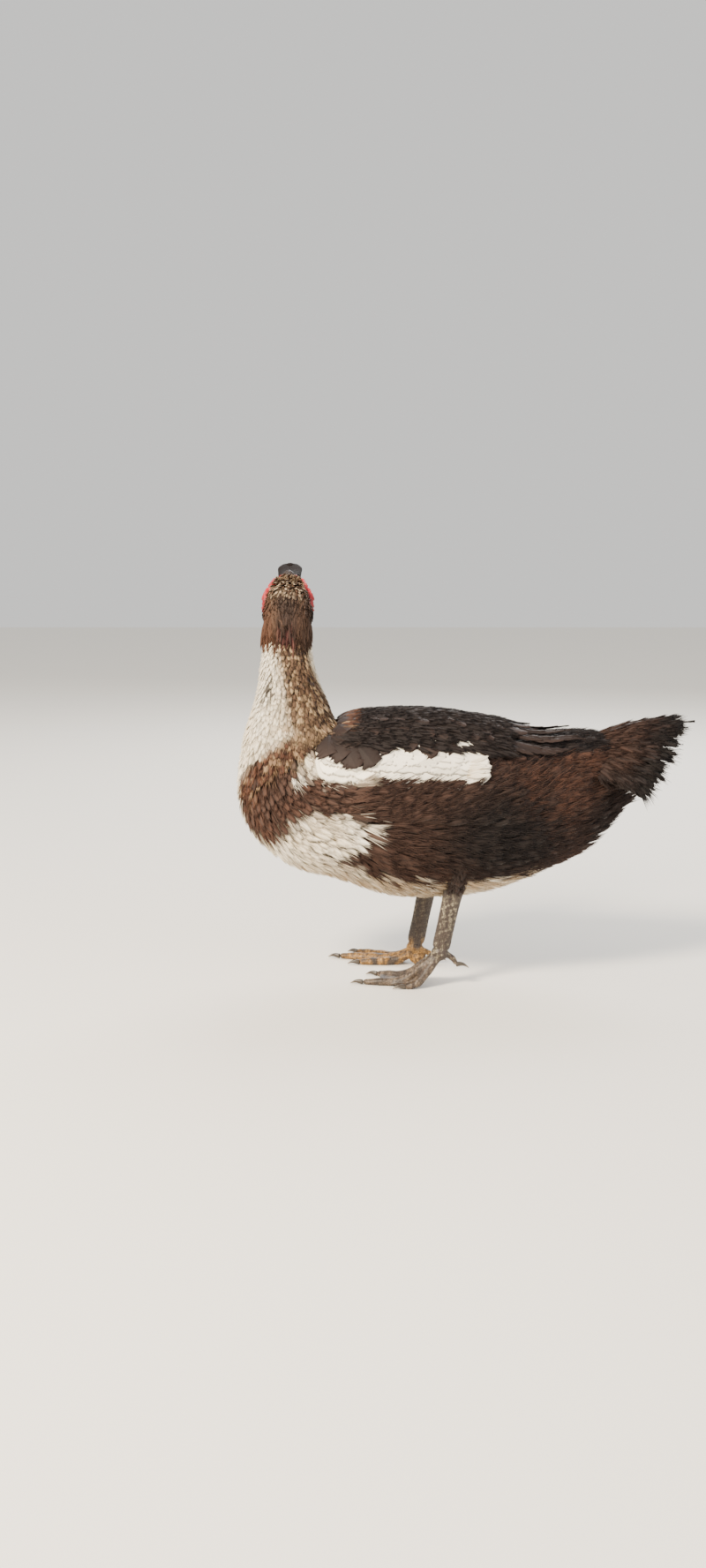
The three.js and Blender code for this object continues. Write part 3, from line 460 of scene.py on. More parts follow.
def body_markings(points, rung, angle, stray=0.0):
    """Linear colours of places on the trunk and neck. Stray moves each place a little, for ragged edges."""
    points = points + np.outer(stray * np.ones(len(points)), (1.0, 0.0, 1.0))
    x, z, out = points[:, 0], points[:, 2], np.abs(angle)
    blotch, fine = ripple(points, 34, 3), ripple(points, 9, 4)
    # tan, mottled, on the lowest part of the trunk, darker towards the bottom
    low_tan = soft(134 - z + 8 * blotch, 0, 24) * (rung < 9)
    flank = region(points, FLANK_BROWN, 5) * (1 - soft(out, 2.62, 2.85) * (1 - soft(x, 34, 62)))
    # painted shade: a dark patch on the flank's rounded bulge, on its side away from the light
    painted_flank_shade = patch(points, (20, 152), (62, 42), 0.0, 0.55)
    thigh_light = patch(points, (78, 206), (44, 48), -0.35, 0.45)
    end = soft(x, 84, 118) * (1 - soft(z, 158, 214)) * soft(z, 118, 132)
    brown = region(points, BREAST_BROWN, 4) * (angle > -2.6) * (angle < 2.9)
    over = 1 - soft(out, 0.76, 0.86)
    sweep = band(points, SHOULDER_SWEEP, 11) * (rung > 7.2) * (out < 2.7)
    streaks = np.sin((x * 0.55 - z) * 0.9 + 1.5 * fine)
    # painted shade: tan bands where the neck's feathers fold across, as the shade in the creases
    folds = soft(np.sin((z - 0.22 * x) * 0.62 + 0.8 * blotch), 0.45, 0.95)
    folds = folds * soft(rung, 8.4, 9.2) * (1 - soft(rung, 10.2, 10.9))
    turn = np.interp(rung, [9.1, 10, 11, 12, 13], [0.2, 0.55, 0.9, 1.15, 1.35])
    half = np.interp(rung, [9.1, 10, 11, 12, 13], [0.95, 0.95, 0.8, 0.72, 0.75])
    nape = (1 - soft(np.abs(angle - turn) / half, 0.6, 1.15)) * soft(rung, 9.0, 9.7)
    rows = np.sin(rung * 26 + 1.2 * fine)
    spot = patch(points, (-195, 299), (4, 8), 0.2, 0.3) * (points[:, 1] < 0)
    return painted(points, "cream", [
        ("white", soft(blotch, -0.6, 0.6) * 0.7),
        # tan mottling low on the trunk
        ("tan", 0.9 * low_tan * soft(fine, -1.4, 0.5)),
        ("white", 0.8 * patch(points, (-92, 152), (34, 24), 0.2, 0.4)),
        ("chestnut", flank),
        # painted shade over the flank's bulge, in black-brown
        ("black_brown", 0.85 * flank * painted_flank_shade),
        ("rust", 0.7 * flank * thigh_light * soft(fine + 0.4 * blotch, -1.0, 0.8)),
        ("black_brown", 0.75 * end),
        ("chocolate", 0.8 * soft(x, 118, 138) * soft(z, 120, 134)),
        ("breast", brown),
        ("rust", 0.35 * brown * soft(fine + blotch, 0.1, 1.0)),
        ("white", 0.8 * patch(points, (-171, 216), (5, 7), 0.5, 0.3)),
        ("back", over * (rung < 8.6)),
        ("rust", sweep),
        ("tan", 0.5 * sweep * soft(streaks, 0.55, 0.95)),
        ("chocolate", 0.7 * sweep * soft(-streaks, 0.5, 0.95)),
        ("black_brown", 0.7 * band(points, [(-126, 266), (-150, 257)], 5) * (rung > 7.4)),
        # painted shade in the neck's folds
        ("tan", 0.8 * folds * (1 - soft(out, 1.4, 2.0))),
        ("tan", nape),
        ("nape", nape * soft(0.6 * fine + rows + 0.7 * nape, -0.5, 0.8)),
        ("chocolate", 0.8 * nape * soft(rows - 0.6 * fine, 0.5, 1.2)),
        ("chocolate", 0.9 * spot),
    ])


def head_markings(points, rung, angle, stray=0.0):
    """Linear colours of places on the head: pale streaks over a brown crown, chestnut cheeks."""
    fine = ripple(points, 7, 5)
    angle = angle + 0.02 * stray
    out = np.abs(angle)
    centre = (1 - soft(out, 0.25, 0.8)) * (1 - soft(rung, 2.0, 2.9))
    crown = (1 - soft(out, 0.45, 0.95)) * soft(rung, 1.7, 3.1)
    streaks = soft(np.sin(angle * 21 + fine) + 0.4 * soft(rung, 2.6, 4), -0.1, 0.7)
    return painted(points, "head", [
        ("rust", 0.8 * soft(angle, 0.7, 1.1) * (1 - soft(rung, 2.8, 3.9))),
        ("chocolate", 0.5 * soft(-angle, 0.3, 1.0) * (1 - soft(out, 1.6, 2.0))),
        ("cream", 0.85 * soft(out, 2.0, 2.5)),
        ("chocolate", 0.85 * centre),
        ("streak", 0.85 * crown * streaks),
        ("pinkish", 0.5 * (1 - soft(out, 0.4, 0.9)) * (1 - soft(rung, 0.2, 0.9))),
    ])


def thigh_markings(points, share, angle, stray=0.0):
    """Dark brown feathers, paler on the inner side."""
    return painted(points, "chocolate", [
        ("chestnut", 0.5 * soft(ripple(points, 16, 6), -0.2, 0.8)),
        ("tan", 0.7 * soft(share, 0.78, 0.95) * soft(np.abs(points[:, 1]), 44, 36)),
    ])


# %% [markdown]
# Mesh code needs a few helpers. One wraps rings of points into a closed tube, others turn arrays of
# points, faces and attributes into an object, or join closed bodies into one skin. All put the place
# in the mesh and leave the object itself at the origin.


# %% Mesh helpers
def tube(rings, start=None, end=None):
    """Points and quads of a closed tube through rings, shut at each end round one point."""
    count, sides, _ = rings.shape
    start = rings[0].mean(0) if start is None else start
    end = rings[-1].mean(0) if end is None else end
    points = np.vstack([rings.reshape(-1, 3), start, end])
    near, far = count * sides, count * sides + 1
    faces = []
    for side in range(sides):
        beside = (side + 1) % sides
        faces.append((near, beside, side))
        faces.append((far, (count - 1) * sides + side, (count - 1) * sides + beside))
        for ring in range(count - 1):
            a = ring * sides
            faces.append((a + side, a + beside, a + sides + beside, a + sides + side))
    return points, faces


def round_grid(shares, sides):
    """Shares along a body and angles round it, as a grid."""
    return np.meshgrid(shares, np.arange(sides) * 2 * math.pi / sides, indexing="ij")


def shaped(rule, low, high, count, sides, lift=0.0):
    """A closed tube over a rule's surface."""
    return tube(rule(*round_grid(np.linspace(low, high, count), sides), lift)[0])


def merged(parts):
    """Several closed bodies as one list of points and one of faces."""
    points, faces, used = [], [], 0
    for part_points, part_faces in parts:
        points.append(part_points)
        faces += [tuple(index + used for index in face) for face in part_faces]
        used += len(part_points)
    return np.vstack(points), faces


def give(mesh, key, values):
    """Writes an attribute with one number or one vector for each point."""
    values = np.asarray(values)
    kind = "INT" if values.dtype.kind == "i" else "FLOAT" if values.ndim == 1 else "FLOAT_VECTOR"
    flat = values.astype(np.int32 if kind == "INT" else np.float32).ravel()
    data = mesh.attributes.new(key, kind, "POINT").data
    data.foreach_set("vector" if kind == "FLOAT_VECTOR" else "value", flat)


def made_object(name, points, faces, material=None, attributes=None):
    """An object with these drawing points, set in the frame, and its attributes on points."""
    mesh = bpy.data.meshes.new(name)
    mesh.from_pydata(metres(points).tolist(), [], faces)
    for key, values in (attributes or {}).items():
        give(mesh, key, values)
    mesh.shade_smooth()
    if material:
        mesh.materials.append(material)
    return linked(name, mesh)


def outward(mesh):
    """Turns every closed shell of a mesh to face out."""
    shell = bmesh.new()
    shell.from_mesh(mesh)
    bmesh.ops.recalc_face_normals(shell, faces=shell.faces)
    shell.to_mesh(mesh)
    shell.free()


def settled(source, name):
    """The mesh that an object's modifiers make of it. The object itself goes."""
    mesh = bpy.data.meshes.new_from_object(source.evaluated_get(bpy.context.evaluated_depsgraph_get()))
    bpy.data.objects.remove(source)
    mesh.name = name
    return mesh


def one_skin(name, parts, voxel, rounds):
    """Joins closed bodies into one skin by a voxel remesh, then smooths it. Voxels are in metres."""
    source = made_object(name + "_parts", *merged(parts))
    outward(source.data)
    remesh = source.modifiers.new("one skin", "REMESH")
    remesh.mode = "VOXEL"
    remesh.voxel_size = voxel
    ease = source.modifiers.new("ease", "SMOOTH")
    ease.factor = 0.5
    ease.iterations = rounds
    mesh = settled(source, name)
    mesh.shade_smooth()
    print(name, "faces", len(mesh.polygons))
    return linked(name, mesh)


def coordinates(mesh):
    """Vertex positions of a mesh, in drawing millimetres."""
    values = np.empty(len(mesh.vertices) * 3)
    mesh.vertices.foreach_get("co", values)
    return values.reshape(-1, 3) / MM - SHIFT


# %% [markdown]
# Feathers are keratin: a horny shaft with a vane of fine barbs on each side, hooked together. Real
# barbs lie 0.3 mm apart, too fine to show here, so they are drawn 1.1 to 1.5 mm apart. The melanin
# gives the browns, and bare keratin scatters light and looks cream. The finish is soft, with a faint
# sheen. Small functions stand for the nodes that come back in every material.


# %% Feather materials
def attribute(tree, name, output="Fac"):
    """The socket that reads an attribute of the mesh."""
    return node(tree, "ShaderNodeAttribute", attribute_name=name).outputs[output]


def maths(tree, operation, *values):
    """The result of a sum on numbers or sockets."""
    return node(tree, "ShaderNodeMath", dict(enumerate(values)), operation=operation).outputs[0]


def spread(tree, value, low, high, start=0.0, end=1.0, kind="LINEAR"):
    """Turns values from start to end into values from low to high."""
    inputs = {"Value": value, "From Min": start, "From Max": end, "To Min": low, "To Max": high}
    return node(tree, "ShaderNodeMapRange", inputs, interpolation_type=kind).outputs[0]


def mixed(tree, weight, first, second, kind="MIX"):
    """Two colours mixed by a weight."""
    inputs = {0: weight, 6: first, 7: second}
    return node(tree, "ShaderNodeMix", inputs, data_type="RGBA", blend_type=kind).outputs[2]


def mottle(tree, grain, detail=3.0):
    """Cloudy noise with a grain of that many millimetres."""
    place = node(tree, "ShaderNodeTexCoord").outputs["Object"]
    inputs = {"Vector": place, "Scale": 1 / (grain * MM), "Detail": detail}
    return node(tree, "ShaderNodeTexNoise", inputs).outputs["Fac"]


def bumped(tree, height, strength, distance):
    """Normals of a surface that stands out by a height, in metres."""
    inputs = {"Height": height, "Strength": strength, "Distance": distance}
    return node(tree, "ShaderNodeBump", inputs).outputs[0]


KERATIN_IOR = 1.54


def feather_material(name, pitch, contrast, roughness, sheen):
    """Vane of hooked barbs with a shaft. Its colour is the marking at the feather's root."""
    material, tree, shader = shader_of(name)
    vane = attribute(tree, "vane", "Vector")
    parts = node(tree, "ShaderNodeSeparateXYZ", {0: vane}).outputs
    aside = maths(tree, "ABSOLUTE", parts["Y"])
    slant = maths(tree, "MULTIPLY_ADD", aside, -1.1, parts["X"])
    wander = node(tree, "ShaderNodeTexNoise", {"Vector": vane, "Scale": 0.35, "Detail": 2.0}).outputs["Fac"]
    bent = maths(tree, "MULTIPLY_ADD", wander, 3.0, slant)
    barbs = maths(tree, "SINE", maths(tree, "MULTIPLY", bent, 2 * math.pi / pitch))
    level = spread(tree, barbs, 1 - contrast, 1 + contrast * 0.4, -1.0, 1.0)
    shaft = spread(tree, aside, 0.72, 1.0, 0.12, 0.45, "SMOOTHSTEP")
    own = spread(tree, parts["Z"], 0.86, 1.14)
    total = maths(tree, "MULTIPLY", maths(tree, "MULTIPLY", level, shaft), own)
    feed(shader, {
        "Base Color": mixed(tree, 1.0, attribute(tree, "mark", "Color"), total, "MULTIPLY"),
        "Normal": bumped(tree, barbs, 0.25, 0.00025),
        "Roughness": roughness, "IOR": KERATIN_IOR, "Specular IOR Level": 0.2,
        "Sheen Weight": sheen, "Sheen Roughness": 0.5,
    })
    return material


contour_vane = feather_material("contour feather of melanin-brown keratin", 1.3, 0.3, 0.6, 0.02)
covert_vane = feather_material("smooth cream keratin covert", 1.5, 0.1, 0.65, 0.03)
loose_vane = feather_material("loose barbed feather of brown keratin", 1.1, 0.25, 0.68, 0.03)

# %% [markdown]
# Under the feathers lies the hide with its down. One closed skin covers trunk, neck, head and thighs
# with no seam between them, a few millimetres inside the outline, because the feathers stand that
# far off it. It is made by joining the lofts, remeshing them with small voxels and smoothing.

# %% Skin
DOWN_MM = 1.4
hide, hide_tree, hide_shader = shader_of("hide with close down")
hide_noise = mottle(hide_tree, DOWN_MM)
hide_level = spread(hide_tree, hide_noise, 0.45, 0.95)
feed(hide_shader, {
    "Base Color": mixed(hide_tree, 1.0, attribute(hide_tree, "mark", "Color"), hide_level, "MULTIPLY"),
    "Normal": bumped(hide_tree, hide_noise, 0.6, 0.0008),
    "Roughness": 0.85, "Sheen Weight": 0.1,
})

BODY_DEPTH, NECK_DEPTH, HEAD_DEPTH, THIGH_DEPTH = 4.5, 2.6, 1.6, 2.0
SKIN_VOXEL = 0.0024
WING_PAD = {"rungs": (8.2, 3.4), "angles": (0.9, 1.36), "swell": 3.2}


def body_depth(rung):
    """How far the hide lies under the outline of trunk and neck."""
    return blend(BODY_DEPTH, NECK_DEPTH, soft(np.asarray(rung, float), 8.5, 10.5))


def square_grid(rows, columns):
    """Two shares from 0 to 1, along and across, as a grid."""
    return np.meshgrid(np.linspace(0, 1, rows), np.linspace(0, 1, columns), indexing="ij")


def slab(top, bottom):
    """A closed body between an upper and a lower grid of points."""
    return tube(np.concatenate([top, bottom[:, ::-1]], axis=1))


def wing_pad(side):
    """The folded wing as a low swelling on the trunk's side."""
    u, v = square_grid(30, 14)
    rung, angle = blend(*WING_PAD["rungs"], u), blend(*WING_PAD["angles"], v) * side
    swell = WING_PAD["swell"] * (np.sin(math.pi * u) * np.sin(math.pi * v)) ** 0.5
    return slab(body_at(rung, angle, -2.5 + swell)[0], body_at(rung, angle, -12.0)[0])


share, angle = round_grid(np.linspace(0.05, 12.9, 90), 64)
skin_parts = [tube(body_at(share, angle, -body_depth(share))[0])]
skin_parts += [shaped(head_at, 0, HEAD_LAST, 40, 40, -HEAD_DEPTH), wing_pad(1), wing_pad(-1)]
skin_parts += [shaped(thigh_at[side], 0, 1, 24, 28, -THIGH_DEPTH) for side in LEGS]
skin = one_skin("skin", skin_parts, SKIN_VOXEL, 6)
skin.data.materials.append(hide)

# %% [markdown]
# The skin's own vertices have lost their rung and angle in the remesh. A search tree of places on the
# rules finds the nearest one for each, and its marking becomes the vertex's colour.


# %% Markings on the skin
def search_tree(points):
    """A tree that finds the points nearest to a place."""
    tree = KDTree(len(points))
    for index, point in enumerate(points):
        tree.insert(point, index)
    tree.balance()
    return tree


# rule, first and last share, markings, rows
SAMPLES = [(body_at, 0, BODY_LAST, body_markings, 140), (head_at, 0, HEAD_LAST, head_markings, 60)]
SAMPLES += [(thigh_at[side], 0, 1, thigh_markings, 40) for side in LEGS]
sample_points, sample_colours = [], []
for rule, low, high, markings, rows in SAMPLES:
    turns = np.linspace(-math.pi, math.pi, 90)
    share, angle = np.meshgrid(np.linspace(low, high, rows), turns, indexing="ij")
    places = rule(share, angle, -2.0)[0].reshape(-1, 3)
    sample_points.append(places)
    sample_colours.append(markings(places, share.ravel(), angle.ravel()))
sample_tree = search_tree(np.vstack(sample_points))
nearest = [sample_tree.find(place)[1] for place in coordinates(skin.data)]
give(skin.data, "mark", np.vstack(sample_colours)[nearest])
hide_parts("torso", "neck_lower", "neck_upper", "head", "thigh_left", "thigh_right")
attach(skin, "root")
print("skin vertices", len(skin.data.vertices))

# %% [markdown]
# A small feather is one of a few patterns, drawn one unit long and wide. A pattern is made of closed
# blades: one broad blade for a contour feather, a broad one with spikes for a split tip, and a fan of
# spikes for the loose, hair-like feathers of the flank. Thousands are laid, so each has few faces.


# %% Feather patterns
def blade(rows, keel=True):
    """A closed blade through rows of (x, y, z, half width, half thickness), pointed at both ends."""
    rows = np.array(rows, float)
    rings = []
    for x, y, z, half, thick in rows[1:-1]:
        under = [(x, y, z - thick * 1.2)] if keel else []
        rings.append([(x, y - half, z - thick), *under, (x, y + half, z - thick), (x, y, z + thick)])
    return tube(np.array(rings), rows[0, :3], rows[-1, :3])


def fan_of_spikes(count, spread_wide, start, half, reach, seed):
    """Narrow blades that leave one root and open sideways and upwards."""
    draws = np.random.default_rng(seed)
    spikes = []
    for index in range(count):
        way = spread_wide * (-1 + 2 * (index + 0.5) / count) + draws.uniform(-0.08, 0.08)
        long = reach * draws.uniform(0.74, 1.0)
        lift = draws.uniform(-0.02, 0.08)
        widths = {start: 0, start + 0.14: half, 0.52: half * 0.9, 0.8: half * 0.5, 1.0: 0}
        rows = [(long * s, way * s**1.3, lift * s * s, w, 0.02 * (1.2 - s)) for s, w in widths.items()]
        spikes.append(blade(rows, keel=False))
    return spikes


PATTERNS = {
    "pattern_0_round": [blade([
        (0, 0, 0, 0, 0), (0.1, 0, 0.0, 0.2, 0.02), (0.38, 0, 0.02, 0.43, 0.03), (0.7, 0, 0.02, 0.5, 0.028),
        (0.9, 0, 0.01, 0.36, 0.02), (0.98, 0, 0.0, 0.17, 0.012), (1, 0, 0, 0, 0),
    ])],
    "pattern_1_pointed": [blade([
        (0, 0, 0, 0, 0), (0.12, 0, 0.0, 0.24, 0.02), (0.4, 0, 0.02, 0.44, 0.03), (0.7, 0, 0.02, 0.33, 0.024),
        (0.9, 0, 0.01, 0.13, 0.014), (1, 0, 0, 0, 0),
    ])],
    "pattern_2_split": [
        blade([
            (0, 0, 0, 0, 0), (0.12, 0, 0.0, 0.22, 0.02), (0.42, 0, 0.02, 0.42, 0.03),
            (0.66, 0, 0.01, 0.3, 0.02), (0.8, 0, 0, 0, 0),
        ]),
        *fan_of_spikes(5, 0.42, 0.3, 0.065, 1.0, 1),
    ],
    "pattern_3_loose": fan_of_spikes(6, 0.62, 0.0, 0.075, 1.0, 2),
    "pattern_4_hair": fan_of_spikes(3, 0.4, 0.0, 0.06, 1.0, 3),
}
ROUND, POINTED, SPLIT, LOOSE, HAIR = range(len(PATTERNS))
pattern_box = bpy.data.collections.new("feather patterns")
scene.collection.children.link(pattern_box)
for pattern_name, blades in PATTERNS.items():
    points, faces = merged(blades)
    mesh = bpy.data.meshes.new(pattern_name)
    mesh.from_pydata(points.tolist(), [], faces)
    outward(mesh)
    mesh.shade_smooth()
    give(mesh, "along", points[:, 0])
    give(mesh, "across", points[:, 1])
    pattern_box.objects.link(bpy.data.objects.new(pattern_name, mesh))
face_counts = {name: sum(len(f) - 2 for _, fs in blades for f in fs) for name, blades in PATTERNS.items()}
print("pattern faces", face_counts)

# %% [markdown]
# Geometry Nodes lay the feathers. Each root is a vertex with attributes: the way its feather lies, the
# way up, its length and width, how far it rises and how far the body falls away under it. The tree
# sets a pattern on each root, turns and sizes it, makes it real and bends it along the body.

# %% The plumage tree
plumage = bpy.data.node_groups.new("plumage", "GeometryNodeTree")
plumage_inputs = {}
for label, kind in (
    ("Geometry", "Geometry"), ("Patterns", "Collection"), ("Finish", "Material"),
    ("Size", "Float"), ("Bend", "Float"),
):
    made_socket = plumage.interface.new_socket(label, in_out="INPUT", socket_type="NodeSocket" + kind)
    plumage_inputs[label] = made_socket.identifier
plumage.interface.new_socket("Geometry", in_out="OUTPUT", socket_type="NodeSocketGeometry")
way_in = node(plumage, "NodeGroupInput").outputs
named = {
    key: node(plumage, "GeometryNodeInputNamedAttribute", {"Name": key}, data_type=kind).outputs["Attribute"]
    for key, kind in (
        ("lie", "FLOAT_VECTOR"), ("up", "FLOAT_VECTOR"), ("long", "FLOAT"), ("wide", "FLOAT"),
        ("drop", "FLOAT"), ("rise", "FLOAT"), ("pattern", "INT"), ("along", "FLOAT"),
    )
}
ways = {0: named["lie"], 1: named["up"]}
heading = node(plumage, "FunctionNodeAxesToRotation", ways, primary_axis="X", secondary_axis="Z")
sizes = node(plumage, "ShaderNodeCombineXYZ", {0: named["long"], 1: named["wide"], 2: named["long"]})
scale_by = {0: sizes.outputs[0], "Scale": way_in["Size"]}
scaled = node(plumage, "ShaderNodeVectorMath", scale_by, operation="SCALE")
choice = node(
    plumage, "GeometryNodeCollectionInfo",
    {"Collection": way_in["Patterns"], "Separate Children": True, "Reset Children": True},
)
placed = node(
    plumage, "GeometryNodeInstanceOnPoints",
    {
        "Points": way_in["Geometry"], "Instance": choice.outputs[0], "Pick Instance": True,
        "Instance Index": named["pattern"], "Rotation": heading.outputs[0], "Scale": scaled.outputs[0],
    },
)
real = node(plumage, "GeometryNodeRealizeInstances", {0: placed.outputs[0]})
fall = maths(plumage, "MULTIPLY", maths(plumage, "POWER", named["along"], 2.0), named["drop"])
climb = maths(plumage, "MULTIPLY", maths(plumage, "POWER", named["along"], 0.7), named["rise"])
net = maths(plumage, "SUBTRACT", climb, maths(plumage, "MULTIPLY", fall, way_in["Bend"]))
offset = node(plumage, "ShaderNodeVectorMath", {0: named["up"], "Scale": net}, operation="SCALE")
bend_by = {"Geometry": real.outputs[0], "Offset": offset.outputs[0]}
bent_blades = node(plumage, "GeometryNodeSetPosition", bend_by)
finish_with = {"Geometry": bent_blades.outputs[0], "Material": way_in["Finish"]}
finished = node(plumage, "GeometryNodeSetMaterial", finish_with)
node(plumage, "NodeGroupOutput", {0: finished.outputs[0]})

# %% [markdown]
# The baked colours of the coat need a UV map in which each feather is a small patch at its root's
# place on the unwrapped skin. The map is made from the rung and the angle, so neighbours on the bird
# are neighbours on the map, and each patch is 0.003 across.

# %% Lay a coat piece
BAKE_PATCH = 0.003
# each chart: left, bottom, width of a rung, height of a radian
BODY_CHART = (0.01, 0.01, 0.068, 0.097)
HEAD_CHART = (0.01, 0.64, 0.09, 0.055)
THIGH_CHARTS = {"left": (0.5, 0.64, 0.2, 0.055), "right": (0.75, 0.64, 0.2, 0.055)}
TAIL_CHART = (0.55, 0.82, 0.12, 0.02)


def on_chart(chart, share, angle):
    """The place on the bake map of a place on the body."""
    return np.stack([chart[0] + share * chart[2], chart[1] + (angle + math.pi) * chart[3]], -1)


def laid_coat(name, roots, material):
    """Lays feathers on roots, a dict of arrays in drawing millimetres, as one plain mesh."""
    source = linked(name + "_roots", bpy.data.meshes.new(name + "_roots"))
    source.data.from_pydata(metres(roots["at"]).tolist(), [], [])
    for key in ("lie", "up", "mark", "pattern"):
        give(source.data, key, roots[key])
    for key in ("long", "wide", "drop", "rise"):
        give(source.data, key, roots[key] * MM)
    give(source.data, "place", np.column_stack([roots["place"], roots["shade"]]))
    lay = source.modifiers.new("plumage", "NODES")
    lay.node_group = plumage
    for label, value in (("Patterns", pattern_box), ("Finish", material), ("Size", 1.0), ("Bend", 1.0)):
        lay[plumage_inputs[label]] = value
    mesh = settled(source, name)

    def read(key, width=1):
        values = np.empty(len(mesh.vertices) * width, np.float32)
        mesh.attributes[key].data.foreach_get("value" if width == 1 else "vector", values)
        return values.reshape(-1, width) if width > 1 else values

    along, across, place = read("along"), read("across"), read("place", 3)
    vane = np.column_stack([along * read("long") / MM, across * read("wide") / MM, place[:, 2]])
    spots = place[:, :2] + BAKE_PATCH * np.column_stack([along - 0.5, across * 0.8])
    for key in ("lie", "up", "long", "wide", "drop", "rise", "pattern", "place", "along", "across"):
        mesh.attributes.remove(mesh.attributes[key])
    finished_coat(name, mesh, vane, spots)


def finished_coat(name, mesh, vane, spots, replaced=()):
    """Gives a coat mesh its vane attribute and bake map, and sets it on the body."""
    give(mesh, "vane", vane)
    corners = np.empty(len(mesh.loops), np.int32)
    mesh.loops.foreach_get("vertex_index", corners)
    for old in list(mesh.uv_layers):
        mesh.uv_layers.remove(old)
    chart = mesh.uv_layers.new(name="OFBake")
    chart.data.foreach_set("uv", np.clip(spots, 0.0005, 0.9995)[corners].astype(np.float32).ravel())
    mesh.shade_smooth()
    piece = linked(name, mesh)
    if replaced:
        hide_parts(*replaced)
    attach(piece, "root")
    print(name, "triangles", sum(max(0, len(p.vertices) - 2) for p in mesh.polygons))


# %% [markdown]
# Feathers grow in rows, each row's roots between those of the row before. Rows are spaced evenly
# along the surface and roots evenly round it, then each is moved a little. From a root, a point one
# feather length further on shows which way the feather lies and how far the body falls away.


# %% Roots in rows
def lengths_along(points):
    """How far each point of a row of points is from the first, measured along the row."""
    steps = np.linalg.norm(np.diff(points, axis=0), axis=-1)
    return np.concatenate([[0], np.cumsum(steps if steps.ndim == 1 else steps.mean(1))])


def roots_in_rows(rule, low, high, spacing, seed):
    """Shares and angles of places spaced evenly over a rule's surface, in staggered rows."""
    draws = np.random.default_rng(seed)
    steps = np.linspace(low, high, 200)
    angles = np.linspace(-math.pi, math.pi, 12, endpoint=False)
    length = lengths_along(rule(steps[:, None], angles[None, :])[0])
    rows = np.interp(np.arange(0, length[-1], spacing), length, steps)
    shares, turns = [], []
    circle = np.linspace(-math.pi, math.pi, 181)
    for index, row in enumerate(rows):
        around = lengths_along(rule(np.full(181, row), circle)[0])
        count = max(4, int(around[-1] / spacing))
        at = (np.arange(count) + 0.5 * (index % 2) + draws.uniform(-0.25, 0.25, count)) / count % 1
        turns.append(np.interp(at * around[-1], around, circle))
        shares.append(np.clip(row + (rows[1] - rows[0]) * draws.uniform(-0.3, 0.3, count), low, high))
    return np.concatenate(shares), np.concatenate(turns)


def picked(draws, count, kinds):
    """A pattern for each of many roots, from patterns with their shares."""
    return draws.choice(list(kinds), count, p=list(kinds.values()))


def rooted(
    rule, share, angle, long, wide, rise, depth, pattern, markings, seed,
    backward=-1, drift=0.0, chart=BODY_CHART,
):
    """Roots with all that the plumage tree reads. Backward is the sense in which feathers lie."""
    draws = np.random.default_rng(seed)
    count = len(share)
    long = np.broadcast_to(long, count) * draws.uniform(0.82, 1.18, count)
    point, normal = rule(share, angle, -np.broadcast_to(depth, count))
    step = 0.01
    along = rule(share + step * backward, angle)[0] - rule(share - step * backward, angle)[0]
    speed = np.maximum(np.linalg.norm(along, axis=1) / (2 * step), 1e-3)
    around = rule(share, angle + step)[0] - rule(share, angle - step)[0]
    turn_speed = np.maximum(np.linalg.norm(around, axis=1) / (2 * step), 1.0)
    drift = drift + draws.normal(0, 0.09, count)
    last = {body_at: BODY_LAST, head_at: HEAD_LAST}.get(rule, 1)
    to_share = np.clip(share + backward * long * np.cos(drift) / speed, 0, last)
    to_angle = angle + long * np.sin(drift) / turn_speed
    base = rule(share, angle, 0.0)[0]
    way = rule(to_share, to_angle, 0.0)[0] - base
    lean = unit(along) * np.cos(drift)[:, None] + unit(around) * np.sin(drift)[:, None]
    short = np.linalg.norm(way, axis=1) < 0.6 * long
    way = np.where(short[:, None], lean * long[:, None], way)
    falls = -(way * normal).sum(1) * long / np.maximum(np.linalg.norm(way, axis=1), 1e-6)
    lie = unit(way - normal * (way * normal).sum(1, keepdims=True))
    stray = draws.normal(0, 3.0, count)
    shade = draws.uniform(0, 1, count)
    own_wide = np.broadcast_to(wide, count) * draws.uniform(0.85, 1.15, count)
    own_rise = np.broadcast_to(rise, count) + np.broadcast_to(depth, count) + draws.uniform(-0.5, 0.9, count)
    return {
        "at": point, "lie": lie, "up": normal, "long": long, "wide": own_wide, "rise": own_rise,
        "drop": np.clip(falls, -0.3 * long, 0.42 * long),
        "pattern": pattern, "mark": markings(base, share, angle, stray), "shade": shade,
        "place": on_chart(chart, share, angle),
    }

# %% [markdown]
# The trunk's feathers change from place to place: split and hair-like ones on the breast, longer ones
# on the belly, long loose ones on the flank that curl up over the wing's edge, and ragged ones on the
# rump. Each place becomes its own piece, under the triangle limit. None grow where the wing and the
# shoulder feathers hide them.

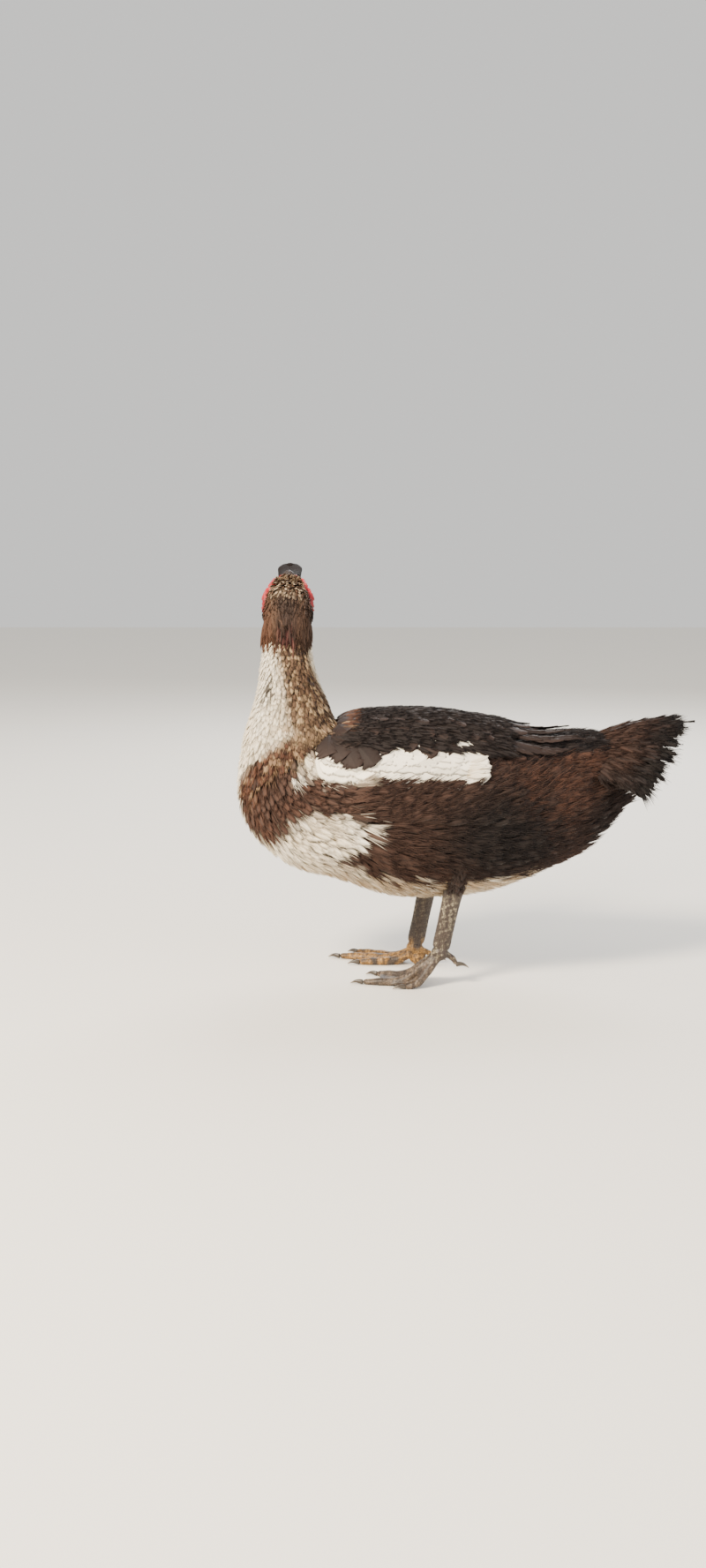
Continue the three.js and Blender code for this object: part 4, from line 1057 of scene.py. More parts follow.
# %% Trunk coat
share, angle = roots_in_rows(body_at, 0.15, 9.45, 5.4, 101)
out = np.abs(angle)
base, _ = body_at(share, angle)
x, z = base[:, 0], base[:, 2]
wing_edge = 1.2 - 0.12 * soft(share, 5.9, 6.6) - 0.1 * (1 - soft(share, 3.7, 4.6))
under_wing = (out > 0.8) & (out < wing_edge) & (share > 3.6) & (share < 7.9)
under_scapulars = (out < 0.6) & (share > 2.6) & (share < 7.4)
flank = (out > 1.04) & (out < 2.6) & (share > 1.7) & (x > -108)
rump = (share <= 2.6) & ~flank
belly = (out >= 2.2) & ~flank & ~rump
breast = (share > 5.4) & (out > 0.6) & ~flank & ~belly
back = ~(flank | rump | belly | breast)
BROWN, CREAM, RUSSET = "chocolate_feather", "cream_feather", "russet_feather"
PLACES = {
    # name: where, long, wide, rise, patterns with their shares, finish, slot
    "coat_breast": (breast, 21, 8.5, 0.9, {SPLIT: 0.5, POINTED: 0.1, HAIR: 0.4}, loose_vane, RUSSET),
    "coat_belly": (belly, 25, 9, 0.6, {SPLIT: 0.45, LOOSE: 0.3, HAIR: 0.25}, loose_vane, CREAM),
    "coat_flank": (flank, 36, 11, 2.0, {LOOSE: 0.4, SPLIT: 0.3, HAIR: 0.3}, loose_vane, BROWN),
    "coat_back": (back, 26, 11, 0.8, {ROUND: 0.3, SPLIT: 0.5, HAIR: 0.2}, contour_vane, BROWN),
    "coat_rump": (rump, 30, 11, 1.2, {SPLIT: 0.4, LOOSE: 0.35, HAIR: 0.25}, loose_vane, BROWN),
}
hidden = under_wing | under_scapulars
for seed, (name, (where, long, wide, rise, patterns, finish, slot_name)) in enumerate(PLACES.items(), 200):
    chosen = where & ~hidden
    s, a = share[chosen], angle[chosen]
    curl = -0.34 * (1 - soft(np.abs(a), 1.2, 1.7)) + 0.22 * soft(np.abs(a), 1.6, 2.2)
    drift = np.where(flank[chosen], curl, 0.05) * np.sign(a)
    kinds = picked(np.random.default_rng(seed), len(s), patterns)
    depth = body_depth(s) + 0.8
    roots = rooted(body_at, s, a, long, wide, rise, depth, kinds, body_markings, seed, drift=drift)
    laid_coat(name, roots, finish)

# %% [markdown]
# Neck and head carry small feathers, narrow and mostly split at the tip on the neck and shorter on
# the head. Over the nape they are long and loose and make ragged locks that hang over the top of the
# neck. The bare face has none.

# %% Neck, head and thigh coat
share, angle = roots_in_rows(body_at, 9.2, 12.95, 3.8, 102)
kinds = picked(np.random.default_rng(210), len(share), {POINTED: 0.25, SPLIT: 0.55, HAIR: 0.2})
long = 17 - 6.5 * soft(share, 9.3, 11.5)
depth = body_depth(share) + 0.5
roots = rooted(body_at, share, angle, long, long * 0.5, 0.5, depth, kinds, body_markings, 210)
laid_coat("coat_neck", roots, loose_vane)

BARE_RUNG, BARE_ANGLES = 2.45, (0.72, 1.78)
share, angle = roots_in_rows(head_at, 0.25, 4.97, 2.5, 103)
out = np.abs(angle)
bare = share > BARE_RUNG + 0.95 * (1 - soft(out, 0.85, 1.2))
bare = bare & (out > BARE_ANGLES[0]) & (out < BARE_ANGLES[1])
share, angle, out = share[~bare], angle[~bare], out[~bare]
long = 7 + 5 * (1 - soft(out, 0.6, 1.2)) * (1 - soft(share, 3.2, 4.6))
long = long + 10 * (1 - soft(share, 0.7, 1.9)) * (out < 2.2)
crown_rise = 0.5 + 4.5 * (1 - soft(out, 0.5, 0.9)) * soft(share, 2.2, 3.4)
kinds = picked(np.random.default_rng(211), len(share), {POINTED: 0.45, SPLIT: 0.4, HAIR: 0.15})
roots = rooted(
    head_at, share, angle, long, 2.6 + long * 0.16, crown_rise, HEAD_DEPTH + 0.4, kinds, head_markings, 211,
    chart=HEAD_CHART,
)
laid_coat("coat_head", roots, contour_vane)

NECK_AXIS = np.array([-177.0, 4.0, 345.0])
LOCKS = 640
draws = np.random.default_rng(212)
share, angle = draws.uniform(0.08, 1.5, LOCKS), draws.uniform(-math.pi, math.pi, LOCKS)
lock_long = (36 - 6 * share) * draws.uniform(0.6, 1.1, LOCKS) * (1 - 0.3 * soft(np.abs(angle), 1.5, 2.3))
kinds = picked(draws, LOCKS, {POINTED: 0.25, SPLIT: 0.4, HAIR: 0.35})
nape = rooted(
    head_at, share, angle, lock_long, 4.8, 1.0, HEAD_DEPTH + 0.2, kinds, head_markings, 213, chart=HEAD_CHART
)
outward_way = unit((nape["at"] - NECK_AXIS) * (1, 1, 0))
outward_way = outward_way + np.outer(0.12 + 0.12 * soft(np.abs(angle), 1.7, 2.4), (0.0, 0.0, 1.0))
nape["up"] = unit(outward_way)
fall = nape["lie"] * 0.25 + np.array([0.0, 0.0, -1.0]) + draws.normal(0, 0.1, (LOCKS, 3))
nape["lie"] = unit(fall - nape["up"] * (fall * nape["up"]).sum(1, keepdims=True))
nape["drop"] = np.full(LOCKS, 1.5)
laid_coat("coat_nape", nape, loose_vane)

for seed, side in enumerate(LEGS, 220):
    share, angle = roots_in_rows(thigh_at[side], 0.12, 0.95, 4.2, seed)
    kinds = picked(np.random.default_rng(seed), len(share), {LOOSE: 0.4, SPLIT: 0.4, HAIR: 0.2})
    roots = rooted(
        thigh_at[side], share, angle, 15 - 6 * share, 6, 0.2, 2.2, kinds, thigh_markings, seed, backward=1,
        chart=THIGH_CHARTS[side],
    )
    laid_coat("coat_thigh_" + side, roots, loose_vane)

# %% [markdown]
# The large feathers of shoulder, wing and tail are drawn one by one along the body. Each is a closed
# vane with a raised shaft, cambered, tilted so that it slips under its neighbour, and notched along
# its edge where barbs have come apart.

# %% A large feather
ACROSS = np.array([-1, -0.8, -0.55, -0.28, -0.07, 0, 0.07, 0.28, 0.55, 0.8, 1])


def large_feather(rule, start, end, wide, rise, blunt, tilt, ragged, draws, rows=26, thick=0.7, camber=0.16):
    """Points, faces and vane coordinates of one feather laid over a rule from one place to another."""
    s = np.linspace(0, 1, rows)
    curl = draws.uniform(-0.25, 0.25)
    turn = blend(start[1], end[1], s) + curl * (end[1] - start[1]) * s * (1 - s)
    centre, normal = rule(blend(start[0], end[0], s), turn, blend(*rise, s**0.8))
    ahead = unit(np.gradient(centre, axis=0))
    across = unit(np.cross(ahead, normal))
    length = np.linalg.norm(np.diff(centre, axis=0), axis=1).sum()
    shoulder = 0.4 + 0.42 * blunt
    tip = np.clip((s - shoulder) / (1 - shoulder), 0, 1)
    narrowed = (1 - tip ** (1.4 + 1.6 * blunt)) ** (0.5 + 0.35 * (1 - blunt))
    half = wide / 2 * ((0.3 + 0.7 * soft(s, 0.0, 0.38)) * narrowed)
    notch = draws.uniform(0, 1, (rows, 2)) ** 2 * ragged * soft(s, 0.15, 0.8)[:, None]
    points, vane = np.empty((rows, len(ACROSS), 3)), np.empty((rows, len(ACROSS), 2))
    for column, v in enumerate(ACROSS):
        edge = 1 - notch[:, 0 if v < 0 else 1] * max(0.0, (abs(v) - 0.5) * 2)
        aside = v * half * edge
        sweep = 0.55 * abs(v) * half * (1 - tip)
        down = -camber * abs(v) ** 1.8 * half + v * tilt / 2
        points[:, column] = centre + across * aside[:, None] + ahead * sweep[:, None] + normal * down[:, None]
        vane[:, column] = np.column_stack([s * length + sweep, aside])
    body = (thick / 2) * (1 - 0.5 * s)[:, None] * (1 - ACROSS[None, :] ** 4)
    shaft = 0.45 * (1 - s)[:, None] * (np.abs(ACROSS) < 0.05)[None, :]
    top = points + normal[:, None, :] * (body + shaft)[..., None]
    bottom = points - normal[:, None, :] * body[..., None]
    upper = np.arange(rows * len(ACROSS)).reshape(rows, -1)
    lower = upper + rows * len(ACROSS)
    lower[0], lower[-1], lower[:, 0], lower[:, -1] = upper[0], upper[-1], upper[:, 0], upper[:, -1]
    quads = []
    for layer, flip in ((upper, False), (lower, True)):
        a, b, c, d = layer[:-1, :-1], layer[:-1, 1:], layer[1:, 1:], layer[1:, :-1]
        order = (a, d, c, b) if flip else (a, b, c, d)
        quads += list(zip(*(part.ravel().tolist() for part in order)))
    every = np.vstack([top.reshape(-1, 3), bottom.reshape(-1, 3)])
    return every, quads, np.vstack([vane.reshape(-1, 2)] * 2)


def large_piece(name, feathers, material, replaced):
    """One coat piece of large feathers, each with its colour at the root, at the tip and its bake place."""
    parts, marks, vanes, spots = [], [], [], []
    for (points, faces, vane), root_colour, tip_colour, shade, place in feathers:
        parts.append((points, faces))
        reach = np.clip(vane[:, :1] / max(vane[:, 0].max(), 1e-6), 0, 1) ** 1.5
        marks.append(blend(root_colour, tip_colour, reach))
        vanes.append(np.column_stack([vane, np.full(len(vane), shade)]))
        widest = max(np.abs(vane[:, 1]).max(), 1e-6)
        in_patch = np.column_stack([reach[:, 0] - 0.5, 0.5 * vane[:, 1] / widest])
        spots.append(np.array(place) + BAKE_PATCH * in_patch)
    points, faces = merged(parts)
    used = np.unique(np.concatenate([np.array(face) for face in faces]))
    renumber = np.full(len(points), -1)
    renumber[used] = np.arange(len(used))
    mesh = bpy.data.meshes.new(name)
    mesh.from_pydata(metres(points[used]).tolist(), [], renumber[np.array(faces)].tolist())
    outward(mesh)
    mesh.materials.append(material)
    give(mesh, "mark", np.vstack(marks)[used])
    finished_coat(name, mesh, np.vstack(vanes)[used], np.vstack(spots)[used], replaced)


def toned(shape, shades, draws, place):
    """A feather with its own tone of the shades at its root and its tip."""
    return (shape, *(SHADES[name] * draws.uniform(0.8, 1.25) for name in shades), draws.uniform(), place)


def tier_of(rule, count, roots, reach, wide, rise, blunt, tilt, ragged, shades, draws, side, stray, **more):
    """A row of large feathers between two root places, each a little different."""
    row = []
    for share in np.linspace(0, 1, count):
        rung, turn = blend(*np.array(roots), share)
        loose = 1 + stray * draws.uniform(-1, 1, 3)
        end = (rung + reach[0] * loose[0], (turn + reach[1] * loose[1]) * side)
        shape = large_feather(
            rule, (rung, turn * side), end, wide * loose[2], rise, blunt, tilt * side, ragged, draws, **more
        )
        row.append(toned(shape, shades, draws, on_chart(BODY_CHART, rung, turn * side)))
    return row


# %% [markdown]
# On each side, broad dark feathers with round tips cover the shoulder and scallop over the white of
# the wing, and long narrow ones trail behind them towards the tail. The tiers are those of the CAD
# model, with more and finer feathers between. Loose strands lie over them.

# %% Shoulder feathers
SIDES = {"left": 1, "right": -1}
STRANDS = 1200
SHOULDER_TIERS = [
    # count, first and last root, reach, width, rise, blunt, tilt, ragged, stray
    (4, [(7.9, 0.72), (6.3, 0.74)], (-0.8, 0.32), 27, (4.5, 7.6), 0.75, -1.0, 0.7, 0.2),
    (8, [(7.7, 0.5), (4.6, 0.56)], (-0.85, 0.33), 27, (2.5, 7.2), 0.8, -1.8, 0.75, 0.16),
    (9, [(7.6, 0.36), (3.9, 0.4)], (-1.1, 0.3), 24, (3, 7.8), 0.6, -1.8, 0.8, 0.16),
    (14, [(4.6, 0.42), (2.9, 0.56)], (-1.5, 0.27), 8, (2.2, 5.4), 0.15, -1.2, 0.9, 0.25),
    (10, [(7.7, 0.2), (3.6, 0.2)], (-1.25, 0.28), 20, (3.4, 8.0), 0.4, -1.6, 0.8, 0.16),
    (14, [(4.2, 0.24), (2.6, 0.4)], (-1.6, 0.19), 8, (2.4, 5.4), 0.15, -1.0, 0.9, 0.25),
    (8, [(7.8, 0.05), (3.4, 0.06)], (-1.2, 0.16), 18, (3.6, 7.6), 0.3, -1.4, 0.8, 0.16),
    (8, [(3.6, 0.06), (2.6, 0.22)], (-1.5, 0.1), 8, (2.4, 5.0), 0.15, -1.0, 0.9, 0.25),
]


def shoulder_markings(points, rung, angle, stray=0.0):
    """Dark like the middle of the back, also where strands hang over the wing."""
    return body_markings(points, rung, 0.5 * np.asarray(angle), stray)


for side_name, side in SIDES.items():
    draws = np.random.default_rng(300 + side)
    dark = ("back", "chocolate")
    feathers = []
    for *shape, stray in SHOULDER_TIERS:
        feathers += tier_of(body_at, *shape, dark, draws, side, stray)
    replaced = ["scapulars_" + side_name]
    large_piece("scapular_feathers_" + side_name, feathers, contour_vane, replaced)
    share, angle = draws.uniform(2.9, 8.2, STRANDS), draws.uniform(0.02, 0.81, STRANDS) * side
    kinds = picked(draws, STRANDS, {SPLIT: 0.45, HAIR: 0.4, POINTED: 0.15})
    strands = rooted(
        body_at, share, angle, 27, 6, 8.2, -3.6, kinds, shoulder_markings, 330 + side, drift=0.34 * side
    )
    laid_coat("coat_shoulder_" + side_name, strands, loose_vane)

# %% [markdown]
# The wing shows as a smooth cream band of coverts. Behind it stand the stubs of growing flight
# feathers, drawn as thick pale feathers. A fringe of loose ones curls up over the band's lower edge.

# %% Wing feathers
COVERT_TIERS = ((1.07, 0.4, 9), (1.0, 1.6, 9), (0.92, 3.0, 10), (0.85, 3.6, 10), (0.77, 4.0, 10))
QUILLS = {"count": 7, "from": (3.45, 0.97), "to": (3.5, 1.12), "reach": -0.42}
FRINGE = 340
for side_name, side in SIDES.items():
    draws = np.random.default_rng(320 + side)
    pale = ("white", "white")
    feathers = []
    for turn, lift, count in COVERT_TIERS:
        feathers += tier_of(
            body_at, count, [(7.9, turn), (4.4, turn + 0.02)], (-1.35, 0.07), 27, (lift, lift + 1.9), 0.45,
            -0.7, 0.3, pale, draws, side, 0.12, camber=0.08,
        )
    for share in np.linspace(0, 1, QUILLS["count"]):
        rung, turn = (blend(QUILLS["from"][k], QUILLS["to"][k], share) for k in (0, 1))
        end = (rung + QUILLS["reach"] * draws.uniform(0.8, 1.2), (turn + draws.uniform(-0.09, 0.02)) * side)
        shape = large_feather(
            body_at, (rung, turn * side), end, 4.6, (3.6, 7.5), 0.5, 0.0, 0.5, draws,
            rows=18, thick=2.2, camber=0.0,
        )
        place = on_chart(BODY_CHART, rung, turn * side)
        feathers.append((shape, SHADES["cream"], SHADES["white"], draws.uniform(), place))
    large_piece("wing_feathers_" + side_name, feathers, covert_vane, ["wing_" + side_name])

    share, angle = draws.uniform(2.7, 6.1, FRINGE), draws.uniform(1.24, 1.66, FRINGE) * side
    kinds = picked(draws, FRINGE, {LOOSE: 0.4, HAIR: 0.35, SPLIT: 0.25})
    fringe = rooted(
        body_at, share, angle, 30, 9, 5.5, 0.5, kinds, body_markings, 334 + side, drift=-0.3 * side
    )
    laid_coat("coat_fringe_" + side_name, fringe, loose_vane)

# %% [markdown]
# The tail is a half-open fan that droops at its sides. Its rule gives a place by its share from root
# to tip and by how far it is from the middle feather. Ragged coverts lie over and under it.

# %% Tail feathers
FAN = {
    "root": (122, 240), "root_half": 21, "root_drop": 22, "tip": (231, 262), "arch": 6, "shorter": 52,
    # how far each side's outermost feather spreads and droops
    "left": (57, 76), "right": (68, 46),
}


def fan_at(share, across, lift=0.0):
    """Points and normals of the fan. Across goes from 1 at the left feather to -1 at the right one."""
    share, across = np.broadcast_arrays(np.asarray(share, float), np.asarray(across, float))

    def bare(r, u):
        far = np.abs(u)
        spread_out, droop = (np.where(u >= 0, FAN["left"][k], FAN["right"][k]) for k in (0, 1))
        (root_x, root_z), (tip_x, tip_z) = FAN["root"], FAN["tip"]
        root = np.stack([root_x + 0 * u, -FAN["root_half"] * u, root_z - FAN["root_drop"] * far**1.5], -1)
        tip = np.stack([tip_x - FAN["shorter"] * far**1.5, -spread_out * u, tip_z - droop * far**1.25], -1)
        point = blend(root, tip, r[..., None])
        point[..., 2] += FAN["arch"] * np.sin(math.pi * np.clip(r, 0, 1))
        return point

    sideways = bare(share, across + RULE_STEP) - bare(share, across - RULE_STEP)
    normal = unit(np.cross(sideways, bare(share + RULE_STEP, across) - bare(share - RULE_STEP, across)))
    normal = np.where(normal[..., 2:] < 0, -normal, normal)
    return bare(share, across) + normal * np.asarray(lift, float)[..., None], normal


def fan_row(count, spread_out, start, ends, wide, lift, blunt, tilt, ragged, shades, draws):
    """A row of tail feathers from one side of the fan to the other."""
    row = []
    for across in np.linspace(-spread_out, spread_out, count):
        reach = draws.uniform(*ends)
        lean = tilt * (-1 if across < 0 else 1)
        shape = large_feather(
            fan_at, (start, across), (reach, across * draws.uniform(0.97, 1.03)), wide, (lift, lift), blunt,
            lean, ragged, draws, rows=34,
        )
        row.append(toned(shape, shades, draws, (0.55 + 0.1 * start, 0.9 + 0.08 * across)))
    return row


TAIL_ROWS = [
    # count, width of the fan, start, ends, wide, lift, blunt, tilt, ragged, shades
    (17, 1.0, 0.02, (0.88, 1.0), 17, 0.0, 0.2, 2.6, 0.8, ("chocolate", "black_brown")),
    (13, 0.94, -0.04, (0.62, 0.82), 17, 2.6, 0.2, 2.0, 0.8, ("chocolate", "back")),
    (9, 0.75, -0.08, (0.4, 0.56), 18, 5.2, 0.3, 1.8, 0.7, ("chocolate", "back")),
]
draws = np.random.default_rng(340)
tail_feathers = [feather for row in TAIL_ROWS for feather in fan_row(*row, draws)]
large_piece("tail_feathers", tail_feathers, contour_vane, ["tail"])


def tail_markings(points, share, across, stray=0.0):
    """Brown, with a rust middle near the root and nearly black ends."""
    share = share + 0.02 * stray
    return painted(points, "back", [
        ("rust", 0.3 * (1 - soft(np.abs(across - 0.35), 0.3, 0.8)) * (1 - soft(share, 0.2, 0.6))),
        ("black_brown", 0.8 * soft(share, 0.45, 0.75)),
    ])


def under_fan(share, across, lift=0.0):
    """The fan's lower side."""
    points, normals = fan_at(share, across, -np.asarray(lift, float))
    return points, -normals


# name, rule, how far the roots stand out, count
TAIL_COVERTS = (("coat_tail_top", fan_at, 5.0, 620), ("coat_tail_under", under_fan, 1.2, 420))
for seed, (name, rule, shift, count) in enumerate(TAIL_COVERTS, 345):
    share, across = draws.uniform(-0.02, 0.72, count), draws.uniform(-1.0, 1.0, count)
    kinds = picked(draws, count, {HAIR: 0.4, LOOSE: 0.3, SPLIT: 0.3})
    depth = -shift * (1 - 0.7 * share)
    coverts = rooted(
        rule, share, across, 36 - 12 * share, 8, shift + 1.6, depth, kinds, tail_markings, seed, backward=1,
        drift=0.08 * np.sign(across), chart=TAIL_CHART,
    )
    laid_coat(name, coverts, loose_vane)

# %% [markdown]
# Under the tail the feathers are loose and spiky. They spring from the end of the trunk, turn
# towards the fan and end in separate barbs, so they are laid from the split and loose patterns.

# %% Ragged feathers under the tail
UNDER_TAIL = 520
draws = np.random.default_rng(350)
share = draws.uniform(0.1, 1.9, UNDER_TAIL)
angle = draws.uniform(0.5, 3.1, UNDER_TAIL) * draws.choice([-1, 1], UNDER_TAIL)
kinds = picked(draws, UNDER_TAIL, {SPLIT: 0.35, LOOSE: 0.4, HAIR: 0.25})
under = rooted(body_at, share, angle, 40 - 9 * share, 9, 1.5, 3.5, kinds, body_markings, 351)
toward = unit(under["lie"] * 0.45 + np.array([1.0, 0.0, 0.12]))
under["lie"] = unit(toward - under["up"] * (toward * under["up"]).sum(1, keepdims=True) * 0.85)
under["drop"] = np.zeros(UNDER_TAIL)
laid_coat("coat_under_tail", under, loose_vane)
for pattern_object in list(pattern_box.objects):
    bpy.data.objects.remove(pattern_object)
bpy.data.collections.remove(pattern_box)

# %% [markdown]
# A duck's shank and toes are covered with horny scales: broad plates down the front and along the top
# of each toe, and a net of small ones elsewhere. Shank, toes, webs and pads are joined into one skin.
# Centres of scales are spread over it, and each vertex stands out by how far it is from the border of
# its scale, so grooves run where two scales meet.


# %% Scaly legs
def toe_rule(path, widths):
    """A toe with knuckles: it is a little narrower half-way between two joints."""
    line = smooth_line(path)
    shares = np.arange(0, len(path) - 0.5, 0.5)
    girth = np.interp(shares, range(len(path)), widths) * np.where(shares % 1 > 0, 0.87, 1.0)
    return limb_rule([(line(s), w, w * 0.88) for s, w in zip(shares, girth)], UP)


def web_between(first, second):
    """The skin between two toes, with a hollowed front edge and soft folds."""
    u, v = square_grid(30, 18)
    share = (0.06 + (0.91 - 0.22 * np.sin(math.pi * v)) * u) * (len(first) - 1)
    middle = smooth_line(first)(share) * (1 - v)[..., None] + smooth_line(second)(share) * v[..., None]
    middle[..., 2] -= 1.2 * np.sin(math.pi * v) - 0.35 * np.sin(v * 16) * u
    half = np.array([0, 0, 0.95])
    return slab(middle + half, middle - half)


def ball(centre, radius, squash=1.0):
    """A closed ball, flattened by squash."""
    share, angle = round_grid(np.linspace(0.02, math.pi - 0.02, 14), 20)
    ring = np.sin(share)
    around = np.stack([ring * np.cos(angle), ring * np.sin(angle), squash * np.cos(share)], -1)
    return tube(np.array(centre, float) + radius * around)


def spread_centres(points, spacing, seed):
    """Points chosen at random, none closer to another than the spacing."""
    tree = search_tree(points)
    free = np.ones(len(points), bool)
    chosen = []
    for index in np.random.default_rng(seed).permutation(len(points)):
        if free[index]:
            chosen.append(index)
            for _, near, _ in tree.find_range(points[index], spacing):
                free[near] = False
    return points[chosen]


def stood_out(mesh, places, height):
    """Places of a mesh's vertices moved out along their normals by a height in millimetres."""
    normals = np.empty(len(places) * 3)
    mesh.vertex_normals.foreach_get("vector", normals)
    return places + normals.reshape(-1, 3) * height[:, None]


def leg_markings(points, side, flecks):
    """The left leg is grey-brown with pale flecks, the right one ochre below the ankle."""
    blotch, fine = ripple(points, 16, 31), ripple(points, 5, 32)
    z = points[:, 2]
    front = soft(z, 20, 36) * (1 - soft(z, 84, 100))
    return painted(points, "leg_grey", [
        ("leg_ochre" if side == "right" else "leg_brown", (1 - soft(z, 16, 34)) * soft(blotch, -0.9, 0.4)),
        ("leg_pale", flecks * soft(fine + blotch * 0.5, 0.0, 0.9) * (0.08 + 0.26 * front * (side == "left"))),
        ("leg_dark", 0.75 * soft(blotch - fine, 0.55, 1.1)),
    ])


scaly, scaly_tree, scaly_shader = shader_of("horny scales of a duck's leg")
scale_parts = node(scaly_tree, "ShaderNodeSeparateXYZ", {0: attribute(scaly_tree, "scale", "Vector")}).outputs
groove_tone = spread(scaly_tree, scale_parts["X"], 0.3, 1.0)
own_tone = spread(scaly_tree, scale_parts["Y"], 0.78, 1.2)
scale_tone = maths(scaly_tree, "MULTIPLY", groove_tone, own_tone)
feed(scaly_shader, {
    "Base Color": mixed(scaly_tree, 1.0, attribute(scaly_tree, "mark", "Color"), scale_tone, "MULTIPLY"),
    "Roughness": 0.5, "Specular IOR Level": 0.4,
})

# half widths of a toe at its joints
TOE_WIDTHS, HIND_WIDTHS = (6.6, 5.6, 5.3, 4.5, 3.5), (4, 3.3, 2.6)
PAD_RADIUS = 8.6
NET, PLATE_STEP, BORDER, GROOVE = 1.9, 3.1, 0.9, 0.32
LOWEST, LEG_VOXEL = 0.25, 0.0009
toe_names = ("inner", "middle", "outer", "hind")
for side, leg in LEGS.items():
    toes = [toe_rule(leg[key], TOE_WIDTHS) for key in toe_names[:3]] + [toe_rule(leg["hind"], HIND_WIDTHS)]
    pads = [ball(leg[key], PAD_RADIUS, 0.9) for key in ("ankle", "heel") if key in leg]
    parts = [shaped(shank_at[side], 0, 1, 60, 26)] + [shaped(toe, 0, 1, 44, 22) for toe in toes] + pads
    parts += [web_between(leg["inner"], leg["middle"]), web_between(leg["middle"], leg["outer"])]
    limb = one_skin("leg_" + side, parts, LEG_VOXEL, 3)
    places = coordinates(limb.data)
    plates = []
    for rule, steps in [(shank_at[side], 20)] + [(toe, 17) for toe in toes[:3]] + [(toes[3], 5)]:
        plates.append(rule(np.linspace(0.06, 0.97, steps), np.full(steps, math.pi / 2))[0])
    plates = np.vstack(plates)
    net = spread_centres(places, NET, 400)
    clear = np.linalg.norm(net[:, None] - plates[None], axis=2).min(1) > PLATE_STEP * 1.15
    centres = np.vstack([plates, net[clear]])
    cells = search_tree(centres)
    found = [cells.find_n(place, 2) for place in places]
    near, far = (np.array([pair[k][2] for pair in found]) for k in (0, 1))
    own = np.random.default_rng(410).uniform(0, 1, len(centres))[[pair[0][1] for pair in found]]
    dome = soft((far - near) / BORDER, 0.0, 1.0)
    places = stood_out(limb.data, places, GROOVE * (dome - 0.6))
    places[:, 2] = np.maximum(places[:, 2], LOWEST)
    limb.data.vertices.foreach_set("co", metres(places).ravel())
    give(limb.data, "mark", leg_markings(places, side, dome))
    give(limb.data, "scale", np.column_stack([dome, own, 0 * own]))
    limb.data.materials.append(scaly)
    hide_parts("tarsus_" + side, "foot_" + side)
    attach(limb, "root")

# %% [markdown]
# Claws, bill and nail are plain horn. Horn is dark where it is thick and full of melanin, and paler
# where it is thin, as at a claw's tip. A fine mottle breaks up its shine.


# %% Horn
def horn(name, dark, pale, roughness, grain):
    """Polished keratin, mottled, whose paleness is an attribute."""
    material, tree, shader = shader_of(name)
    cloud = mottle(tree, grain)
    weight = maths(tree, "MULTIPLY_ADD", cloud, 0.3, attribute(tree, "pale"))
    feed(shader, {
        "Base Color": mixed(tree, weight, rgba(dark), rgba(pale)),
        "Normal": bumped(tree, cloud, 0.3, 0.0003), "Roughness": roughness, "IOR": KERATIN_IOR,
    })
    return material


def horn_piece(name, form, material, pale, slot_name, *replaced):
    """One piece of horn, in place of its solid."""
    points, faces = form
    piece = made_object(name, points, faces, material, {"pale": pale})
    outward(piece.data)
    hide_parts(*replaced)
    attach(piece, "root")


claw_horn = horn("claw of dark horn with a thin tip", "#241F1C", "#8A7A66", 0.35, 1.2)
CLAW = {"long": 11.5, "wide": 2.5, "drop": 4.0}
for side, leg in LEGS.items():
    for toe_name in toe_names:
        end, before = (np.array(leg[toe_name][index], float) for index in (-1, -2))
        ahead = unit((end - before) * (1, 1, 0))
        stations = []
        for share in np.linspace(-0.18, 1, 9):
            past = max(share, 0)
            sunk = past**1.8 * min(end[2] - 0.7, CLAW["drop"]) - 0.9 * math.sin(math.pi * past)
            girth = max(0.3, CLAW["wide"] * (1 - past**1.2 * 0.88))
            place = end + ahead * (1.2 + CLAW["long"] * share) - np.array([0, 0, sunk])
            stations.append((place, girth * 0.9, girth))
        form = shaped(limb_rule(stations, UP), 0, 1, 26, 18)
        pale = soft((form[0] - end) @ ahead, 7.5, 12.5) * 0.8
        name = f"claw_{toe_name}_{side}"
        horn_piece("horn_" + name, form, claw_horn, pale, "claw", name)
print("claws done")

# %% [markdown]
# The bill is described by rungs too, in the head's own frame. The upper half has two oval nostrils
# near its root and a hard hooked nail at its end. The line where the halves meet is the mouth.

# %% Bill
BILL_ROUND = 2.6
BILL_BASE = 31.3
UPPER_BILL = [
    ((BILL_BASE, 15), (BILL_BASE, -6.6), 13.4), ((39, 12.2), (39, -7), 12.4), ((51, 6.8), (51, -6.2), 11.4),
    ((63, 2.2), (63, -5.8), 12), ((74, -0.4), (74, -6.8), 12.2), ((80.5, -2), (80.5, -7.8), 8.8),
]
LOWER_BILL = [
    ((BILL_BASE, -5.4), (BILL_BASE, -14.2), 11), ((39, -5.8), (39, -13.6), 10.6),
    ((51, -5.0), (51, -11.8), 9.8), ((63, -4.6), (63, -10.9), 10.2), ((74, -5.6), (74, -11.1), 9.6),
]
NOSTRIL = {"at": (46, 8.2, 5), "long": 4, "tall": 1.9, "deep": 2.2}


def in_head(points):
    """Points of the head's frame as drawing points."""
    return np.asarray(points, float) @ HEAD_TURN.T + HEAD_CENTRE


def bill_half(rungs, tip):
    """A half of the bill in the head's frame, with a rounded end."""
    tip = np.array(tip, float)
    share, angle = round_grid((len(rungs) - 1) * np.linspace(0, 1, 64) ** 0.9, 56)
    rings = rung_rule(rungs, BILL_ROUND, 1)(share, angle)[0]
    last = rings[-1]
    inward = last.mean(0) - last
    cap = [last + (tip - last) * (1 - math.cos(t)) * 0.55 + inward * 0.3 * math.sin(t) for t in (0.5, 0.9)]
    return tube(np.concatenate([rings, np.array(cap)]), rings[0].mean(0) - np.array([2.0, 0, 0]), tip)


